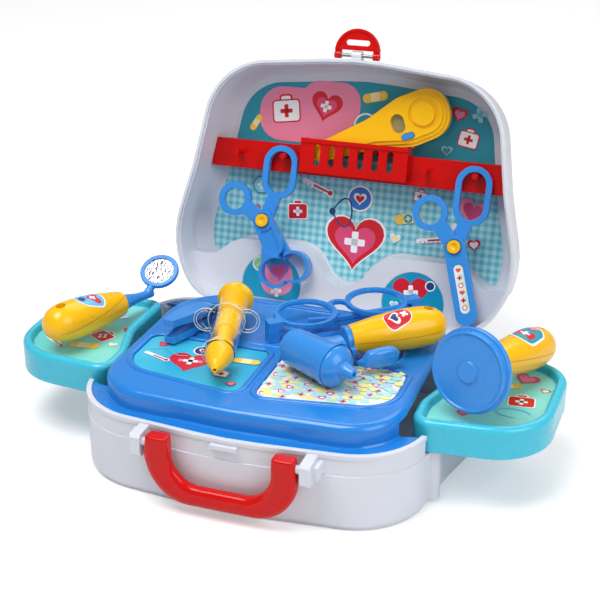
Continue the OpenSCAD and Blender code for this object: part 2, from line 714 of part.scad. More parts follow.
// ---- reflex disc on the right tray -----------------------------------------
disc_r = 24.6;
disc_c = [post_x + 17.6*km, post_y + 7.4*km, rim_top + seat + disc_r + 0.7];
disc_az = 70;
disc_neck = 27;
disc_drop = asin(min(0.3, (disc_r + 0.5 - 12.6*gr)/(disc_neck + 44*gl)));
module disc_at() {
    aim(disc_c, disc_az, -disc_drop) children();
}
module disc_head() color(blue) disc_at() {
    difference() {
        turned([[0, -3.6], [5.6, -3.6], [6.4, -3.0], [6.4, -2.2], [20.6, -2.2], [21.6, -3.0], [22.4, -3.0],
            [22.8, -2.2], [22.8, 0.4], [23.2, 0.8], [24, 0.8], [24.6, 1.4], [24.6, 3.6], [24, 4.4],
            [14, 6.4], [8, 9], [6.6, 14], [6.6, 19], [7.8, 20], [7.8, 22.4], [7, 23], [8.4, 24],
            [8.4, 26.9], [5.9, 26.9], [5.9, 39], [0, 39]], 72);
        translate([0, 0, 2]) rod(4, 34, 32);
    }
}

// ---- syringe ----------------------------------------------------------------
syr_az = -75;
syr_p = [-35.6*kx, 10*ky, bead_z + seat + barrel_r + 1.8];
br = barrel_r;
barrel_l = 46;
module syr_at() {
    aim(syr_p, syr_az, 0) children();
}
module syringe_barrel() color([0.8, 0.86, 0.92, 0.5]) syr_at() {
    difference() {
        union() {
            rod(br, barrel_l, 56);
            rod(br + 2.6, 1.8, 56);
            for (s = [-1, 1]) translate([0, s*(br + 2), 0]) rod(7.8, 1.8, 48);
        }
        translate([0, 0, -1]) rod(br - 1.3, 60, 56);
        for (s = [-1, 1]) translate([0, s*(br + 2.4), -1]) difference() {
            rod(6, 5, 48);
            translate([0, -s*(br + 2.4), -1]) rod(br + 1.2, 8, 48);
        }
    }
}
module syringe_nozzle() color(yellow) syr_at() {
    difference() {
        translate([0, 0, barrel_l]) turned([[0, -6], [br - 1.5, -6], [br - 1.5, 0], [br - 0.6, 0],
            [br - 0.6, 3], [br - 1.4, 6.4], [br - 2.8, 11], [br - 4.2, 15.6], [2.8, 18.6], [1.7, 22],
            [0, 22]], 56);
        translate([0, 0, barrel_l - 14]) rod(0.9, 42, 20);
        translate([0, 0, barrel_l - 14]) rod(br - 3, 12, 40);
    }
}
module syringe_plunger() color(yellow) syr_at() {
    turned([[0, -34], [8, -34], [10.6, -33.4], [11.6, -32.4], [11.6, -30.6], [10.4, -29.6], [9.6, -29],
        [br - 0.6, -8], [br - 1.3 - run*2, -6], [br - 1.3 - run*2, 19], [br - 2.2, 20.2], [4.8, 20.6],
        [4.8, 37], [0, 37]], 56);
}

// ---- spectacles ---------------------------------------------------------------
spec_az = 41.3;
spec_d = 24.4;
frame_z = pocket_z + seat + 10.4;
end_x = spec_d + lens_r + 4.2;
module spec_at() {
    translate([23*kx, 53*ky, frame_z]) rotate([0, 0, spec_az]) children();
}
module spec_front() color(blue) spec_at() {
    difference() {
        union() {
            mirrored() {
                translate([spec_d, 0, 0]) rod(lens_r, 2.6, 72);
                box(spec_d + lens_r - 2, end_x + 3.4, -9, -1, 0, 2.6);
            }
            translate([0, 3, 0]) difference() {
                rod(7.6, 2.6, 48);
                translate([0, 0, -1]) rod(4.6, 5, 40);
                translate([0, -10, 1]) cube([30, 20, 6], center = true);
            }
        }
        mirrored() {
            translate([spec_d, 0, -1]) rod(lens_r - 3.4, 5, 72);
            translate([spec_d, 0, 1.9]) rod(lens_r - 2.4, 5, 72);
        }
    }
    for (s = [-1, 1]) scale([s, 1, 1]) difference() {
        union() {
            box(end_x - 3.2, end_x + 3.4, -9, -6.9, -10.4, 0.1);
            box(end_x - 3.2, end_x + 3.4, -3.1, -1, -10.4, 0.1);
            box(end_x + 2.5, end_x + 3.4, -9, -1, -10.4, 0.1);
        }
        translate([end_x, -10, s < 0 ? -6.4 : -3.2]) rotate([-90, 0, 0]) rod(1.05, 12, 24);
    }
}
temple_l = 70;
module temple(s, z) color(blue) spec_at() scale([s, 1, 1]) translate([end_x, -5, z]) difference() {
    union() {
        rotate([90, 0, 0]) translate([0, 0, -1.6]) rod(1.5, 3.2, 32);
        box(-temple_l + 14, 0, -1.6, 1.6, -1.3, 1.3);
        translate([-temple_l + 14, 0, -1.3]) rotate([0, 0, 180 - 14]) box(-1, 16, -1.6, 1.6, 0, 2.6);
    }
    rotate([90, 0, 0]) translate([0, 0, -5]) rod(0.9 + run, 10, 24);
}
module temple_pin(s, z) color(blue) spec_at() scale([s, 1, 1]) translate([end_x, -5, z])
    rotate([90, 0, 0]) translate([0, 0, -3.9]) rod(0.9, 7.8, 24);

// ---- tweezers -------------------------------------------------------------------
twz_p = [-67*kx, -12*ky, bead_z + seat];
twz_az = 78;
twz_side = [[0, 0], [0, 1.8], [38, 3.2], [42.6, 4.4], [42.6, 7], [38, 8.2], [0, 13.6], [0, 15.6],
            [22, 14], [40, 11], [46, 8.6], [46, 2.8], [40, 0.4], [24, 0]];
twz_plan = [[-1, -3.4], [16, -6.4], [34, -6.2], [48, -4.4], [48, 4.4], [34, 6.2], [16, 6.4], [-1, 3.4]];
module twz_outline(t) {
    shape(twz_plan, [3, 20, 20, 2, 2, 20, 20, 3], t);
}
module tweezers() color(blue) translate(twz_p) rotate([0, 0, twz_az]) {
    intersection() {
        rotate([90, 0, 0]) translate([0, 0, -10]) linear_extrude(20) polygon(twz_side);
        translate([0, 0, -1]) linear_extrude(20) twz_outline(0);
    }
    intersection() {
        rotate([90, 0, 0]) translate([0, 0, -10]) linear_extrude(20) difference() {
            polygon([[0, 0], [0, 15.6], [22, 14], [38, 11.4], [38, 0]]);
            polygon([[-1, 4], [34, 5], [34, 6.6], [-1, 11.4]]);
        }
        translate([0, 0, -1]) linear_extrude(20) difference() {
            twz_outline(0);
            twz_outline(1.4);
        }
    }
}

base_shell();
mirror([1, 0, 0]) hinge_pin();  // hinge_pin_left
hinge_pin();  // hinge_pin_right
tray_deck();
deck_label(-1);  // deck_label_left
deck_label(1);  // deck_label_right
mirror([1, 0, 0]) wing();  // wing_left
mirror([1, 0, 0]) wing_label();  // wing_left_label
wing();  // wing_right
wing_label();  // wing_right_label
carry_handle();
lid_shell();
lid_label();
lid_roundel(-1);  // lid_roundel_left
lid_roundel(1);  // lid_roundel_right
tool_rack();
latch_pin();
latch();
forceps_back();
forceps_front();
forceps_rivet();
scissors_back();
scissors_front();
scissors_label();
scissors_rivet();
gauge_back();
gauge_front();
gauge_window();
gauge_button();
oto_head();
oto_cap();
oto_collar();
oto_lever();
aim(oto_grip_p, oto_grip_az, 1) grip_half_shell(true);  // oto_grip_top
aim(oto_grip_p, oto_grip_az, 1) grip_half_shell(false);  // oto_grip_bottom
mirror_stem();
mirror_glass();
mir_at() grip_half_shell(true);  // mirror_grip_top
mir_at() grip_half_shell(false);  // mirror_grip_bottom
disc_head();
disc_at() translate([0, 0, disc_neck]) grip_half_shell(true);  // disc_grip_top
disc_at() translate([0, 0, disc_neck]) grip_half_shell(false);  // disc_grip_bottom
syringe_barrel();
syringe_nozzle();
syringe_plunger();
spec_front();
temple(-1, -6.4);  // spec_temple_left
temple(1, -3.2);  // spec_temple_right
temple_pin(-1, -6.4);  // spec_pin_left
temple_pin(1, -3.2);  // spec_pin_right
tweezers();
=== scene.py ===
"""Looks of the toy doctor case: materials, moulded skins, printed labels, camera and lamps.

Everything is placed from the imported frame. The handle side faces -Y. Numbers are millimetres
where MM turns them into Blender's metres, and metres in the stage section.
"""
import json
import math

import bmesh
import bpy
from mathutils import Matrix, Vector
from mathutils.bvhtree import BVHTree
from mathutils.geometry import tessellate_polygon


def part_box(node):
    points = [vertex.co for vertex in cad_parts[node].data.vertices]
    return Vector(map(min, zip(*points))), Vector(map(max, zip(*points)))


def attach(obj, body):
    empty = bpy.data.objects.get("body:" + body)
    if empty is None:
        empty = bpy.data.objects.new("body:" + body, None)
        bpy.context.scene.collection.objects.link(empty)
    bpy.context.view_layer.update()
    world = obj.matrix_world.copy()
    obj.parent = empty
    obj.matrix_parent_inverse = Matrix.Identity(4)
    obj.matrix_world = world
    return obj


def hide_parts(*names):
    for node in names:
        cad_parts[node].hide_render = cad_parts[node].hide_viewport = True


MM = 0.001
X, Y, Z = Vector((1, 0, 0)), Vector((0, 1, 0)), Vector((0, 0, 1))

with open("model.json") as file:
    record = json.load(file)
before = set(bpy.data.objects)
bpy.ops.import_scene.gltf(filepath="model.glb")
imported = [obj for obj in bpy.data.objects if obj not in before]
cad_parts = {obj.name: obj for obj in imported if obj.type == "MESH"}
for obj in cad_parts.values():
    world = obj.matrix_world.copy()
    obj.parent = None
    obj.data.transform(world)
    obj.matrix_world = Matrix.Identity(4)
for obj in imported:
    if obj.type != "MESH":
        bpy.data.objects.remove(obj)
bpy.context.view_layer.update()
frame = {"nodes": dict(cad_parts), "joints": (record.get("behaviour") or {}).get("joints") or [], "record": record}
nodes = frame["nodes"]
joints = {j["name"]: j for j in frame["joints"]}
body_of = {n: b for b, ns in frame["record"]["behaviour"]["bodies"].items() for n in ns}


def corners(name):
    """Lowest and highest corner of a node at rest, in millimetres."""
    return [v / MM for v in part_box(name)]


def middle(name):
    """Middle of a node's box, in metres."""
    lo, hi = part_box(name)
    return (lo + hi) / 2


def points_of(*names):
    """All mesh points of some nodes, in metres."""
    return [nodes[n].matrix_world @ v.co for n in names for v in nodes[n].data.vertices]


def add_object(name, mesh):
    ob = bpy.data.objects.new(name, mesh)
    bpy.context.scene.collection.objects.link(ob)
    return ob


# ---- colours ---------------------------------------------------------------------------
def srgb(r, g, b):
    """Linear colour of an 8-bit sRGB one."""
    def lin(c):
        c /= 255
        return c / 12.92 if c <= 0.04045 else ((c + 0.055) / 1.055) ** 2.4
    return (lin(r), lin(g), lin(b), 1.0)


def tint(c, k):
    return (min(1, c[0] * k), min(1, c[1] * k), min(1, c[2] * k), 1.0)


INK = dict(
    white=srgb(246, 248, 250), red=srgb(214, 24, 38), pink=srgb(240, 138, 170),
    rose=srgb(226, 74, 120), teal=srgb(40, 158, 176), aqua=srgb(140, 214, 222),
    blue=srgb(40, 120, 205), navy=srgb(36, 64, 120), yellow=srgb(250, 206, 70),
    cream=srgb(250, 232, 176), green=srgb(126, 200, 120), violet=srgb(150, 110, 190),
    sky=srgb(96, 186, 232), magenta=srgb(224, 84, 150), pale_yellow=srgb(252, 240, 150),
    pale_aqua=srgb(178, 232, 236), pale_sky=srgb(186, 218, 246), pale_green=srgb(196, 234, 176),
)


# ---- shader nodes ----------------------------------------------------------------------
def put(n, **values):
    """Sets a shader node's input sockets by name, with _ for a space."""
    for key, value in values.items():
        n.inputs[key.replace("_", " ")].default_value = value
    return n


def shader(nt, kind, **values):
    return put(nt.nodes.new("ShaderNode" + kind), **values)


def new_material(name):
    m = bpy.data.materials.new(name)
    m.use_nodes = True
    nt = m.node_tree
    return m, nt, nt.nodes["Principled BSDF"]


def object_coord(nt):
    return shader(nt, "TexCoord").outputs["Object"]


def noise(nt, scale, detail=2.0):
    n = shader(nt, "TexNoise", Scale=scale, Detail=detail)
    nt.links.new(object_coord(nt), n.inputs["Vector"])
    return n.outputs["Fac"]


def ramp(nt, fac, a, b, lo=0.35, hi=0.65):
    """Colour from a to b as fac goes from lo to hi."""
    n = shader(nt, "ValToRGB")
    for stop, position, colour in zip(n.color_ramp.elements, (lo, hi), (a, b)):
        stop.position = position
        stop.color = colour
    nt.links.new(fac, n.inputs["Fac"])
    return n.outputs["Color"]


def remap(nt, value, lo, hi, start=0.0, stop=1.0):
    """lo to hi as value goes from start to stop."""
    n = shader(nt, "MapRange", From_Min=start, From_Max=stop, To_Min=lo, To_Max=hi)
    nt.links.new(value, n.inputs["Value"])
    return n.outputs["Result"]


def bump(nt, height, strength, distance):
    n = shader(nt, "Bump", Strength=strength, Distance=distance)
    nt.links.new(height, n.inputs["Height"])
    return n.outputs["Normal"]


def choose(nt, ray, no, yes, out):
    """Sends shader yes to out for the named kind of ray, and shader no for all others."""
    mix = shader(nt, "MixShader")
    nt.links.new(shader(nt, "LightPath").outputs[ray], mix.inputs[0])
    nt.links.new(no, mix.inputs[1])
    nt.links.new(yes, mix.inputs[2])
    nt.links.new(mix.outputs[0], out)


def maths(nt, op, a, b=None):
    n = shader(nt, "Math")
    n.operation = op
    for i, v in enumerate((a, b)):
        if v is None:
            continue
        if isinstance(v, (int, float)):
            n.inputs[i].default_value = v
        else:
            nt.links.new(v, n.inputs[i])
    return n.outputs[0]


def along(nt, coord, direction):
    n = shader(nt, "VectorMath")
    n.operation = "DOT_PRODUCT"
    n.inputs[1].default_value = direction
    nt.links.new(coord, n.inputs[0])
    return n.outputs["Value"]


def stripes(nt, value, period):
    """0 or 1 in bands half a period wide."""
    return maths(nt, "GREATER_THAN", maths(nt, "FRACT", maths(nt, "DIVIDE", value, period)), 0.5)


def mix_colour(nt, fac, a, b):
    n = shader(nt, "Mix")
    n.data_type = "RGBA"
    for socket, v in ((n.inputs[0], fac), (n.inputs[6], a), (n.inputs[7], b)):
        if isinstance(v, (int, float, tuple)):
            socket.default_value = v
        else:
            nt.links.new(v, socket)
    return n.outputs[2]


# ---- materials -------------------------------------------------------------------------
# Noise scales of a moulded surface: flow marks, smears of gloss, orange peel.
FLOW, SMEAR, PEEL = 18, 60, 900
MOTTLE = 0.015
PEEL_STRENGTH, PEEL_DEPTH = 0.05, 0.04 * MM


def moulded(name, colour, rough=0.3, coat=0.25, spec=0.5):
    """Injection-moulded plastic: faint flow mottling, fine orange peel, slightly uneven gloss."""
    m, nt, b = new_material(name)
    mottled = ramp(nt, noise(nt, FLOW), tint(colour, 1 - MOTTLE), tint(colour, 1 + MOTTLE))
    nt.links.new(mottled, b.inputs["Base Color"])
    nt.links.new(remap(nt, noise(nt, SMEAR, 4), rough - 0.02, rough + 0.04), b.inputs["Roughness"])
    nt.links.new(bump(nt, noise(nt, PEEL), PEEL_STRENGTH, PEEL_DEPTH), b.inputs["Normal"])
    put(b, Coat_Weight=coat, Coat_Roughness=0.08, IOR=1.45, Specular_IOR_Level=spec)
    return m


def metal(name, colour, rough=0.3):
    m, nt, b = new_material(name)
    grain = noise(nt, 400, 3)
    nt.links.new(remap(nt, grain, rough - 0.08, rough + 0.1), b.inputs["Roughness"])
    nt.links.new(ramp(nt, grain, tint(colour, 0.9), tint(colour, 1.05)), b.inputs["Base Color"])
    put(b, Metallic=1.0)
    return m


def crinkled(name):
    """Silvered film with bumped creases, and dark streaks along them painted into its colour as reflections."""
    m, nt, b = new_material(name)
    wave = shader(nt, "TexWave", Scale=150, Distortion=13, Detail=3, Detail_Scale=1.4)
    nt.links.new(object_coord(nt), wave.inputs["Vector"])
    crease = wave.outputs["Color"]
    # dark and light streaks painted into the film's colour as reflections in its creases
    painted_crease_reflections = ramp(nt, crease, srgb(40, 42, 48), srgb(232, 234, 238), 0.1, 0.42)
    nt.links.new(painted_crease_reflections, b.inputs["Base Color"])
    nt.links.new(bump(nt, crease, 0.3, 0.2 * MM), b.inputs["Normal"])
    put(b, Metallic=0.55, Roughness=0.25)
    return m


def clear_plastic(name):
    """Clear moulding that doesn't darken what lies under it."""
    m, nt, b = new_material(name)
    haze = ramp(nt, noise(nt, 120), (0.86, 0.91, 0.96, 1), (0.92, 0.95, 0.98, 1))
    nt.links.new(haze, b.inputs["Base Color"])
    put(b, Transmission_Weight=1.0, Roughness=0.03, IOR=1.46)
    empty = shader(nt, "BsdfTransparent")
    surface = nt.nodes["Material Output"].inputs["Surface"]
    choose(nt, "Is Shadow Ray", b.outputs[0], empty.outputs[0], surface)
    return m


def ink(name, colour):
    m, nt, b = new_material("ink_" + name)
    speckled = ramp(nt, noise(nt, 1500), tint(colour, 0.95), tint(colour, 1.03))
    nt.links.new(speckled, b.inputs["Base Color"])
    put(b, Roughness=0.34, Coat_Weight=0.15)
    return m


def printed(name, paint):
    """A glossy printed film; paint(nt, coord) returns its colour socket."""
    m, nt, b = new_material(name)
    nt.links.new(paint(nt, object_coord(nt)), b.inputs["Base Color"])
    nt.links.new(remap(nt, noise(nt, 90, 3), 0.28, 0.4), b.inputs["Roughness"])
    put(b, Coat_Weight=0.2)
    return m


inks = {k: ink(k, c) for k, c in INK.items()}
mat_white = moulded("white_plastic", srgb(216, 219, 228), 0.32, coat=0.2)
mat_blue = moulded("blue_plastic", srgb(48, 140, 222), 0.26, coat=0.35)
mat_sky = moulded("sky_plastic", srgb(28, 128, 214), 0.24, coat=0.35)
mat_cyan = moulded("cyan_plastic", srgb(58, 192, 218), 0.26, coat=0.3)
mat_red = moulded("red_plastic", srgb(206, 4, 3), 0.24, coat=0.45, spec=0.1)
mat_yellow = moulded("yellow_plastic", srgb(252, 190, 0), 0.24, coat=0.3, spec=0.4)
mat_seam = moulded("yellow_seam", srgb(206, 132, 8), 0.4, coat=0.0)
# dark blue painted as the shade of the gap between the otoscope's head and cap
mat_gap_shade = moulded("painted_gap_shade", srgb(16, 74, 150), 0.4, coat=0.0)
# pale opaque wires that paint highlights on the syringe's clear edges
mat_edge_highlight = moulded("painted_edge_highlight", srgb(206, 220, 234), 0.1, coat=0.6)
mat_window = moulded("window", srgb(150, 140, 90), 0.15, coat=0.6)
mat_steel = metal("steel", srgb(150, 150, 152))
mat_clear = clear_plastic("clear_plastic")
mat_mirror = crinkled("mirror_film")


# ---- outlines, as lists of (x, y) ------------------------------------------------------
def circle(cx, cy, r, n=28, sy=1.0):
    turns = [2 * math.pi * i / n for i in range(n)]
    return [(cx + r * math.cos(a), cy + sy * r * math.sin(a)) for a in turns]


def arc(cx, cy, r, a0, a1, n):
    """n + 1 points of a circle, from a0 to a1 degrees."""
    turns = [math.radians(a0 + (a1 - a0) * k / n) for k in range(n + 1)]
    return [(cx + r * math.cos(a), cy + r * math.sin(a)) for a in turns]


def place(pts, cx, cy, turn=0.0):
    """Turns points by degrees about the origin and moves them to cx, cy."""
    c, s = math.cos(math.radians(turn)), math.sin(math.radians(turn))
    return [(cx + x * c - y * s, cy + x * s + y * c) for x, y in pts]


def heart(cx, cy, size, turn=0.0, n=36):
    """A plain heart about size wide."""
    pts = []
    for i in range(n):
        t = 2 * math.pi * i / n
        x = 16 * math.sin(t) ** 3
        y = 13 * math.cos(t) - 5 * math.cos(2 * t) - 2 * math.cos(3 * t) - math.cos(4 * t)
        pts.append((-x * size / 32, (y + 2) * size / 32))
    return place(pts, cx, cy, turn)


def rounded(cx, cy, w, h, r, turn=0.0, n=6):
    """A w by h rectangle with corners of radius r."""
    pts = []
    for sx, sy, a0 in ((1, 1, 0), (-1, 1, 90), (-1, -1, 180), (1, -1, 270)):
        pts += arc(sx * (w / 2 - r), sy * (h / 2 - r), r, a0, a0 + 90, n)
    return place(pts, cx, cy, turn)


def fillet(before, corner, after, r, steps):
    """Arc of radius r that rounds a corner between two neighbours, as steps + 1 points."""
    before, corner, after = Vector(before), Vector(corner), Vector(after)
    u, v = (before - corner).normalized(), (after - corner).normalized()
    half = math.acos(max(-1, min(1, u.dot(v)))) / 2
    reach = r / math.tan(half)
    o = corner + (u + v).normalized() * (r / math.sin(half))
    p, q = corner + u * reach - o, corner + v * reach - o
    a0, a1 = math.atan2(p.y, p.x), math.atan2(q.y, q.x)
    sweep = (a1 - a0 + 3 * math.pi) % (2 * math.pi) - math.pi
    turns = [a0 + sweep * k / steps for k in range(steps + 1)]
    return [(o.x + r * math.cos(a), o.y + r * math.sin(a)) for a in turns]


def inset_outline(pts, radii, t, steps=10):
    """Rounded polygon moved inwards by t; every t gives the same number of points."""
    n = len(pts)
    unit = [(Vector(pts[(i + 1) % n]) - Vector(pts[i])).normalized() for i in range(n)]
    moved, rad = [], []
    for i in range(n):
        a, b = unit[i - 1], unit[i]
        na, nb = Vector((-a.y, a.x)), Vector((-b.y, b.x))
        moved.append(Vector(pts[i]) + (na + nb) * (t / (1 + na.dot(nb))))
        convex = a.x * b.y - a.y * b.x > 0
        rad.append(max(radii[i] - t, 0.4) if convex else radii[i] + t)
    out = []
    for i in range(n):
        out += fillet(moved[i - 1], moved[i], moved[(i + 1) % n], rad[i], steps)
    return out


def spaced(pts, count):
    """count + 1 points spread evenly along an open line."""
    length = [0]
    for a, b in zip(pts, pts[1:]):
        length.append(length[-1] + math.dist(a, b))
    out, k = [], 0
    for j in range(count + 1):
        d = length[-1] * j / count
        while k < len(pts) - 2 and length[k + 1] < d:
            k += 1
        u = (d - length[k]) / max(1e-6, length[k + 1] - length[k])
        (ax, ay), (bx, by) = pts[k], pts[k + 1]
        out.append((ax + (bx - ax) * u, ay + (by - ay) * u))
    return out


# ---- nodes of the frame: plastics and soft edges ---------------------------------------
WELD_GAP = 0.01 * MM


def smooth(ob, angle=30):
    """Smooth shading with edges past angle kept sharp."""
    for p in ob.data.polygons:
        p.use_smooth = True
    m = ob.modifiers.new("weighted", "WEIGHTED_NORMAL")
    m.keep_sharp = True
    m.weight = 60
    ob.data.set_sharp_from_angle(angle=math.radians(angle))


def turned(ob, angle=40):
    """Smooth shading of a lathe-like node, with its edges past angle kept crisp."""
    ob.data.shade_smooth()
    ob.modifiers.new("weld", "WELD").merge_threshold = WELD_GAP
    crisp = ob.modifiers.new("crisp", "EDGE_SPLIT")
    crisp.split_angle = math.radians(angle)
    crisp.use_edge_sharp = False


def round_edges(ob, width, angle):
    bevel = ob.modifiers.new("bevel", "BEVEL")
    bevel.width = width * MM
    bevel.segments = 3
    bevel.limit_method = "ANGLE"
    bevel.angle_limit = math.radians(angle)
    return bevel


def soften(ob, width):
    """Rounds a node's moulded edges without touching its mesh."""
    ob.modifiers.new("weld", "WELD").merge_threshold = WELD_GAP
    flat = ob.modifiers.new("flat", "DECIMATE")
    flat.decimate_type = "DISSOLVE"
    flat.angle_limit = math.radians(0.5)
    bevel = round_edges(ob, width, 35)
    bevel.harden_normals = False
    bevel.miter_outer = "MITER_ARC"
    smooth(ob)


def dress(name, material):
    ob = nodes[name]
    ob.data.materials.clear()
    ob.data.materials.append(material)


def plastic_of(name):
    if name in ("base_shell", "lid_shell"):
        return mat_white
    if name in ("carry_handle", "tool_rack", "latch"):
        return mat_red
    if name in ("hinge_pin_left", "hinge_pin_right", "latch_pin"):
        return mat_steel
    if name in ("wing_left", "wing_right"):
        return mat_cyan
    if name in ("gauge_back", "gauge_front", "syringe_nozzle", "syringe_plunger"):
        return mat_yellow
    if "rivet" in name or "grip" in name:
        return mat_yellow
    single = dict(tray_deck=mat_sky, syringe_barrel=mat_clear,
                  mirror_glass=mat_mirror, gauge_window=mat_window)
    return single.get(name, mat_blue)


# Width of the rounded edges, in millimetres.
SOFT = dict(
    base_shell=0.6, lid_shell=0.5, tool_rack=0.5, latch=0.5,
    forceps_back=1.3, forceps_front=1.3, scissors_back=1.3, scissors_front=1.3,
    gauge_back=0.6, gauge_front=0.8, oto_head=0.5, oto_cap=0.4, oto_collar=0.4, oto_lever=0.9,
    mirror_stem=0.3, disc_head=0.5, syringe_nozzle=0.3, syringe_plunger=0.4,
    spec_front=0.6, spec_temple_left=0.6, spec_temple_right=0.6, tweezers=0.35,
)
for n, ob in nodes.items():
    if "label" not in n and "roundel" not in n:
        dress(n, plastic_of(n))
    if n in SOFT:
        soften(ob, SOFT[n])
    elif "grip" in n or "rivet" in n:
        turned(ob)
    else:
        smooth(ob)


# ---- moulded skins drawn in place of stepped nodes -------------------------------------
class Skin:
    """A mesh gathered from rings of points."""

    def __init__(self, name):
        self.name, self.bm = name, bmesh.new()

    def ring(self, pts):
        return [self.bm.verts.new(Vector(p) * MM) for p in pts]

    def outline(self, pts, z):
        return self.ring([(x, y, z) for x, y in pts])

    def join(self, rings, closed=True):
        for a, b in zip(rings, rings[1:]):
            n = len(a)
            for k in range(n if closed else n - 1):
                m = (k + 1) % n
                self.bm.faces.new((a[k], a[m], b[m], b[k]))
        return self

    def lid(self, ring, holes=()):
        """Closes a ring, leaving holes open."""
        if not holes:
            self.bm.faces.new(ring)
            return self
        loops = [ring, *holes]
        flat = [v for loop in loops for v in loop]
        for tri in tessellate_polygon([[v.co for v in loop] for loop in loops]):
            self.bm.faces.new([flat[k] for k in tri])
        return self

    def hoop(self, centre, axis, side, profile, a0=0, a1=360, steps=48):
        """Sweeps profile, points (radius, height), round an axis from a0 to a1 degrees."""
        up = axis.cross(side)
        rings = []
        for i in range(steps + 1):
            a = math.radians(a0 + (a1 - a0) * i / steps)
            out = side * math.cos(a) + up * math.sin(a)
            pts = [centre + (out * r + axis * h) * MM for r, h in profile]
            rings.append([self.bm.verts.new(p) for p in pts])
        return self.join(rings)

    def done(self, material, angle=38):
        bmesh.ops.recalc_face_normals(self.bm, faces=self.bm.faces)
        me = bpy.data.meshes.new(self.name)
        self.bm.to_mesh(me)
        self.bm.free()
        me.materials.append(material)
        ob = add_object(self.name, me)
        smooth(ob, angle)
        return ob


def stand_in(ob, node, body):
    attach(ob, body)
    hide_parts(node)


SHELL_RIM = 48       # height of the lower shell's rim
WING_OUTLINE = [(93, -44.6), (167, -37.6), (170, 44), (138, 59),
                (102.5, 59), (102.5, 13), (93, -18)]
WING_RADII = [11, 36, 24, 20, 9, 40, 25]
WING_DEPTH = 5       # from the rim down to the floor
WING_POST = (104, -33)
BORE, BOSS = 3.08, 7.4


def wing_skin(side):
    """A tray: hollow underside, outer wall, rounded rim, dished floor, boss round its post."""
    node = "wing_left" if side < 0 else "wing_right"
    lo, hi = corners(node)
    low, top, floor_z = lo.z, hi.z, hi.z - WING_DEPTH
    under = floor_z - 1.9
    # (distance inwards from the outline, height)
    profile = [(4.2, floor_z - 2)] + arc(4.2, floor_z - 3.8, 1.8, 90, 180, 4) + [(2.4, low + 0.4)]
    profile += arc(2.0, low + 0.4, 0.4, 0, -90, 2) + arc(0.9, low + 0.9, 0.9, 270, 180, 4)
    profile += arc(3.5, top - 3.5, 3.5, 180, 90, 8) + arc(3.5, top - 2.2, 2.2, 90, 8, 6)
    profile += arc(7.4, floor_z + 1.6, 1.6, 188, 270, 5)
    sk = Skin(node + "_skin")
    rings = []
    for t, z in profile:
        pts = inset_outline(WING_OUTLINE, WING_RADII, t)
        rings.append(sk.outline([(side * x, y) for x, y in pts], z))
    sk.join(rings).lid(rings[0]).lid(rings[-1])
    px, py = WING_POST
    boss = []
    for r, z in ((BORE, low), (BOSS, low), (BOSS, under), (BORE, under)):
        boss.append(sk.outline([(side * px + x, py + y) for x, y in circle(0, 0, r, 40)], z))
    sk.join(boss + boss[:1])
    stand_in(sk.done(mat_cyan), node, "left_tray" if side < 0 else "right_tray")


DECK_OUTLINE = [(0, -76.4), (91, -71.5), (91, 76), (-91, 76), (-91, -71.5)]
DECK_RADII = [200, 33, 40, 40, 33]
DECK_WALL = 2.6
PANEL = [(4.6, -56.5), (81.5, -44.5), (81.5, -0.5), (4.6, -0.5)]
PANEL_RADII = [7, 20, 7, 5]
POCKET = [(-72, 9), (72, 9), (72, 66), (-72, 66)]
POCKET_RADII = [8, 8, 30, 30]
LIP_OUTLINE = [(0, -88.3), (98.8, -78.9), (110.7, -7.6), (124.3, 48.5), (101.4, 87.4),
               (-101.4, 87.4), (-124.3, 48.5), (-110.7, -7.6), (-98.8, -78.9)]
LIP_RADII = [210, 45, 79, 62, 30, 30, 62, 79, 45]
BAY_FRONT, BAY_BACK = -47.6, 69     # the trays' bays cut the lip away between these


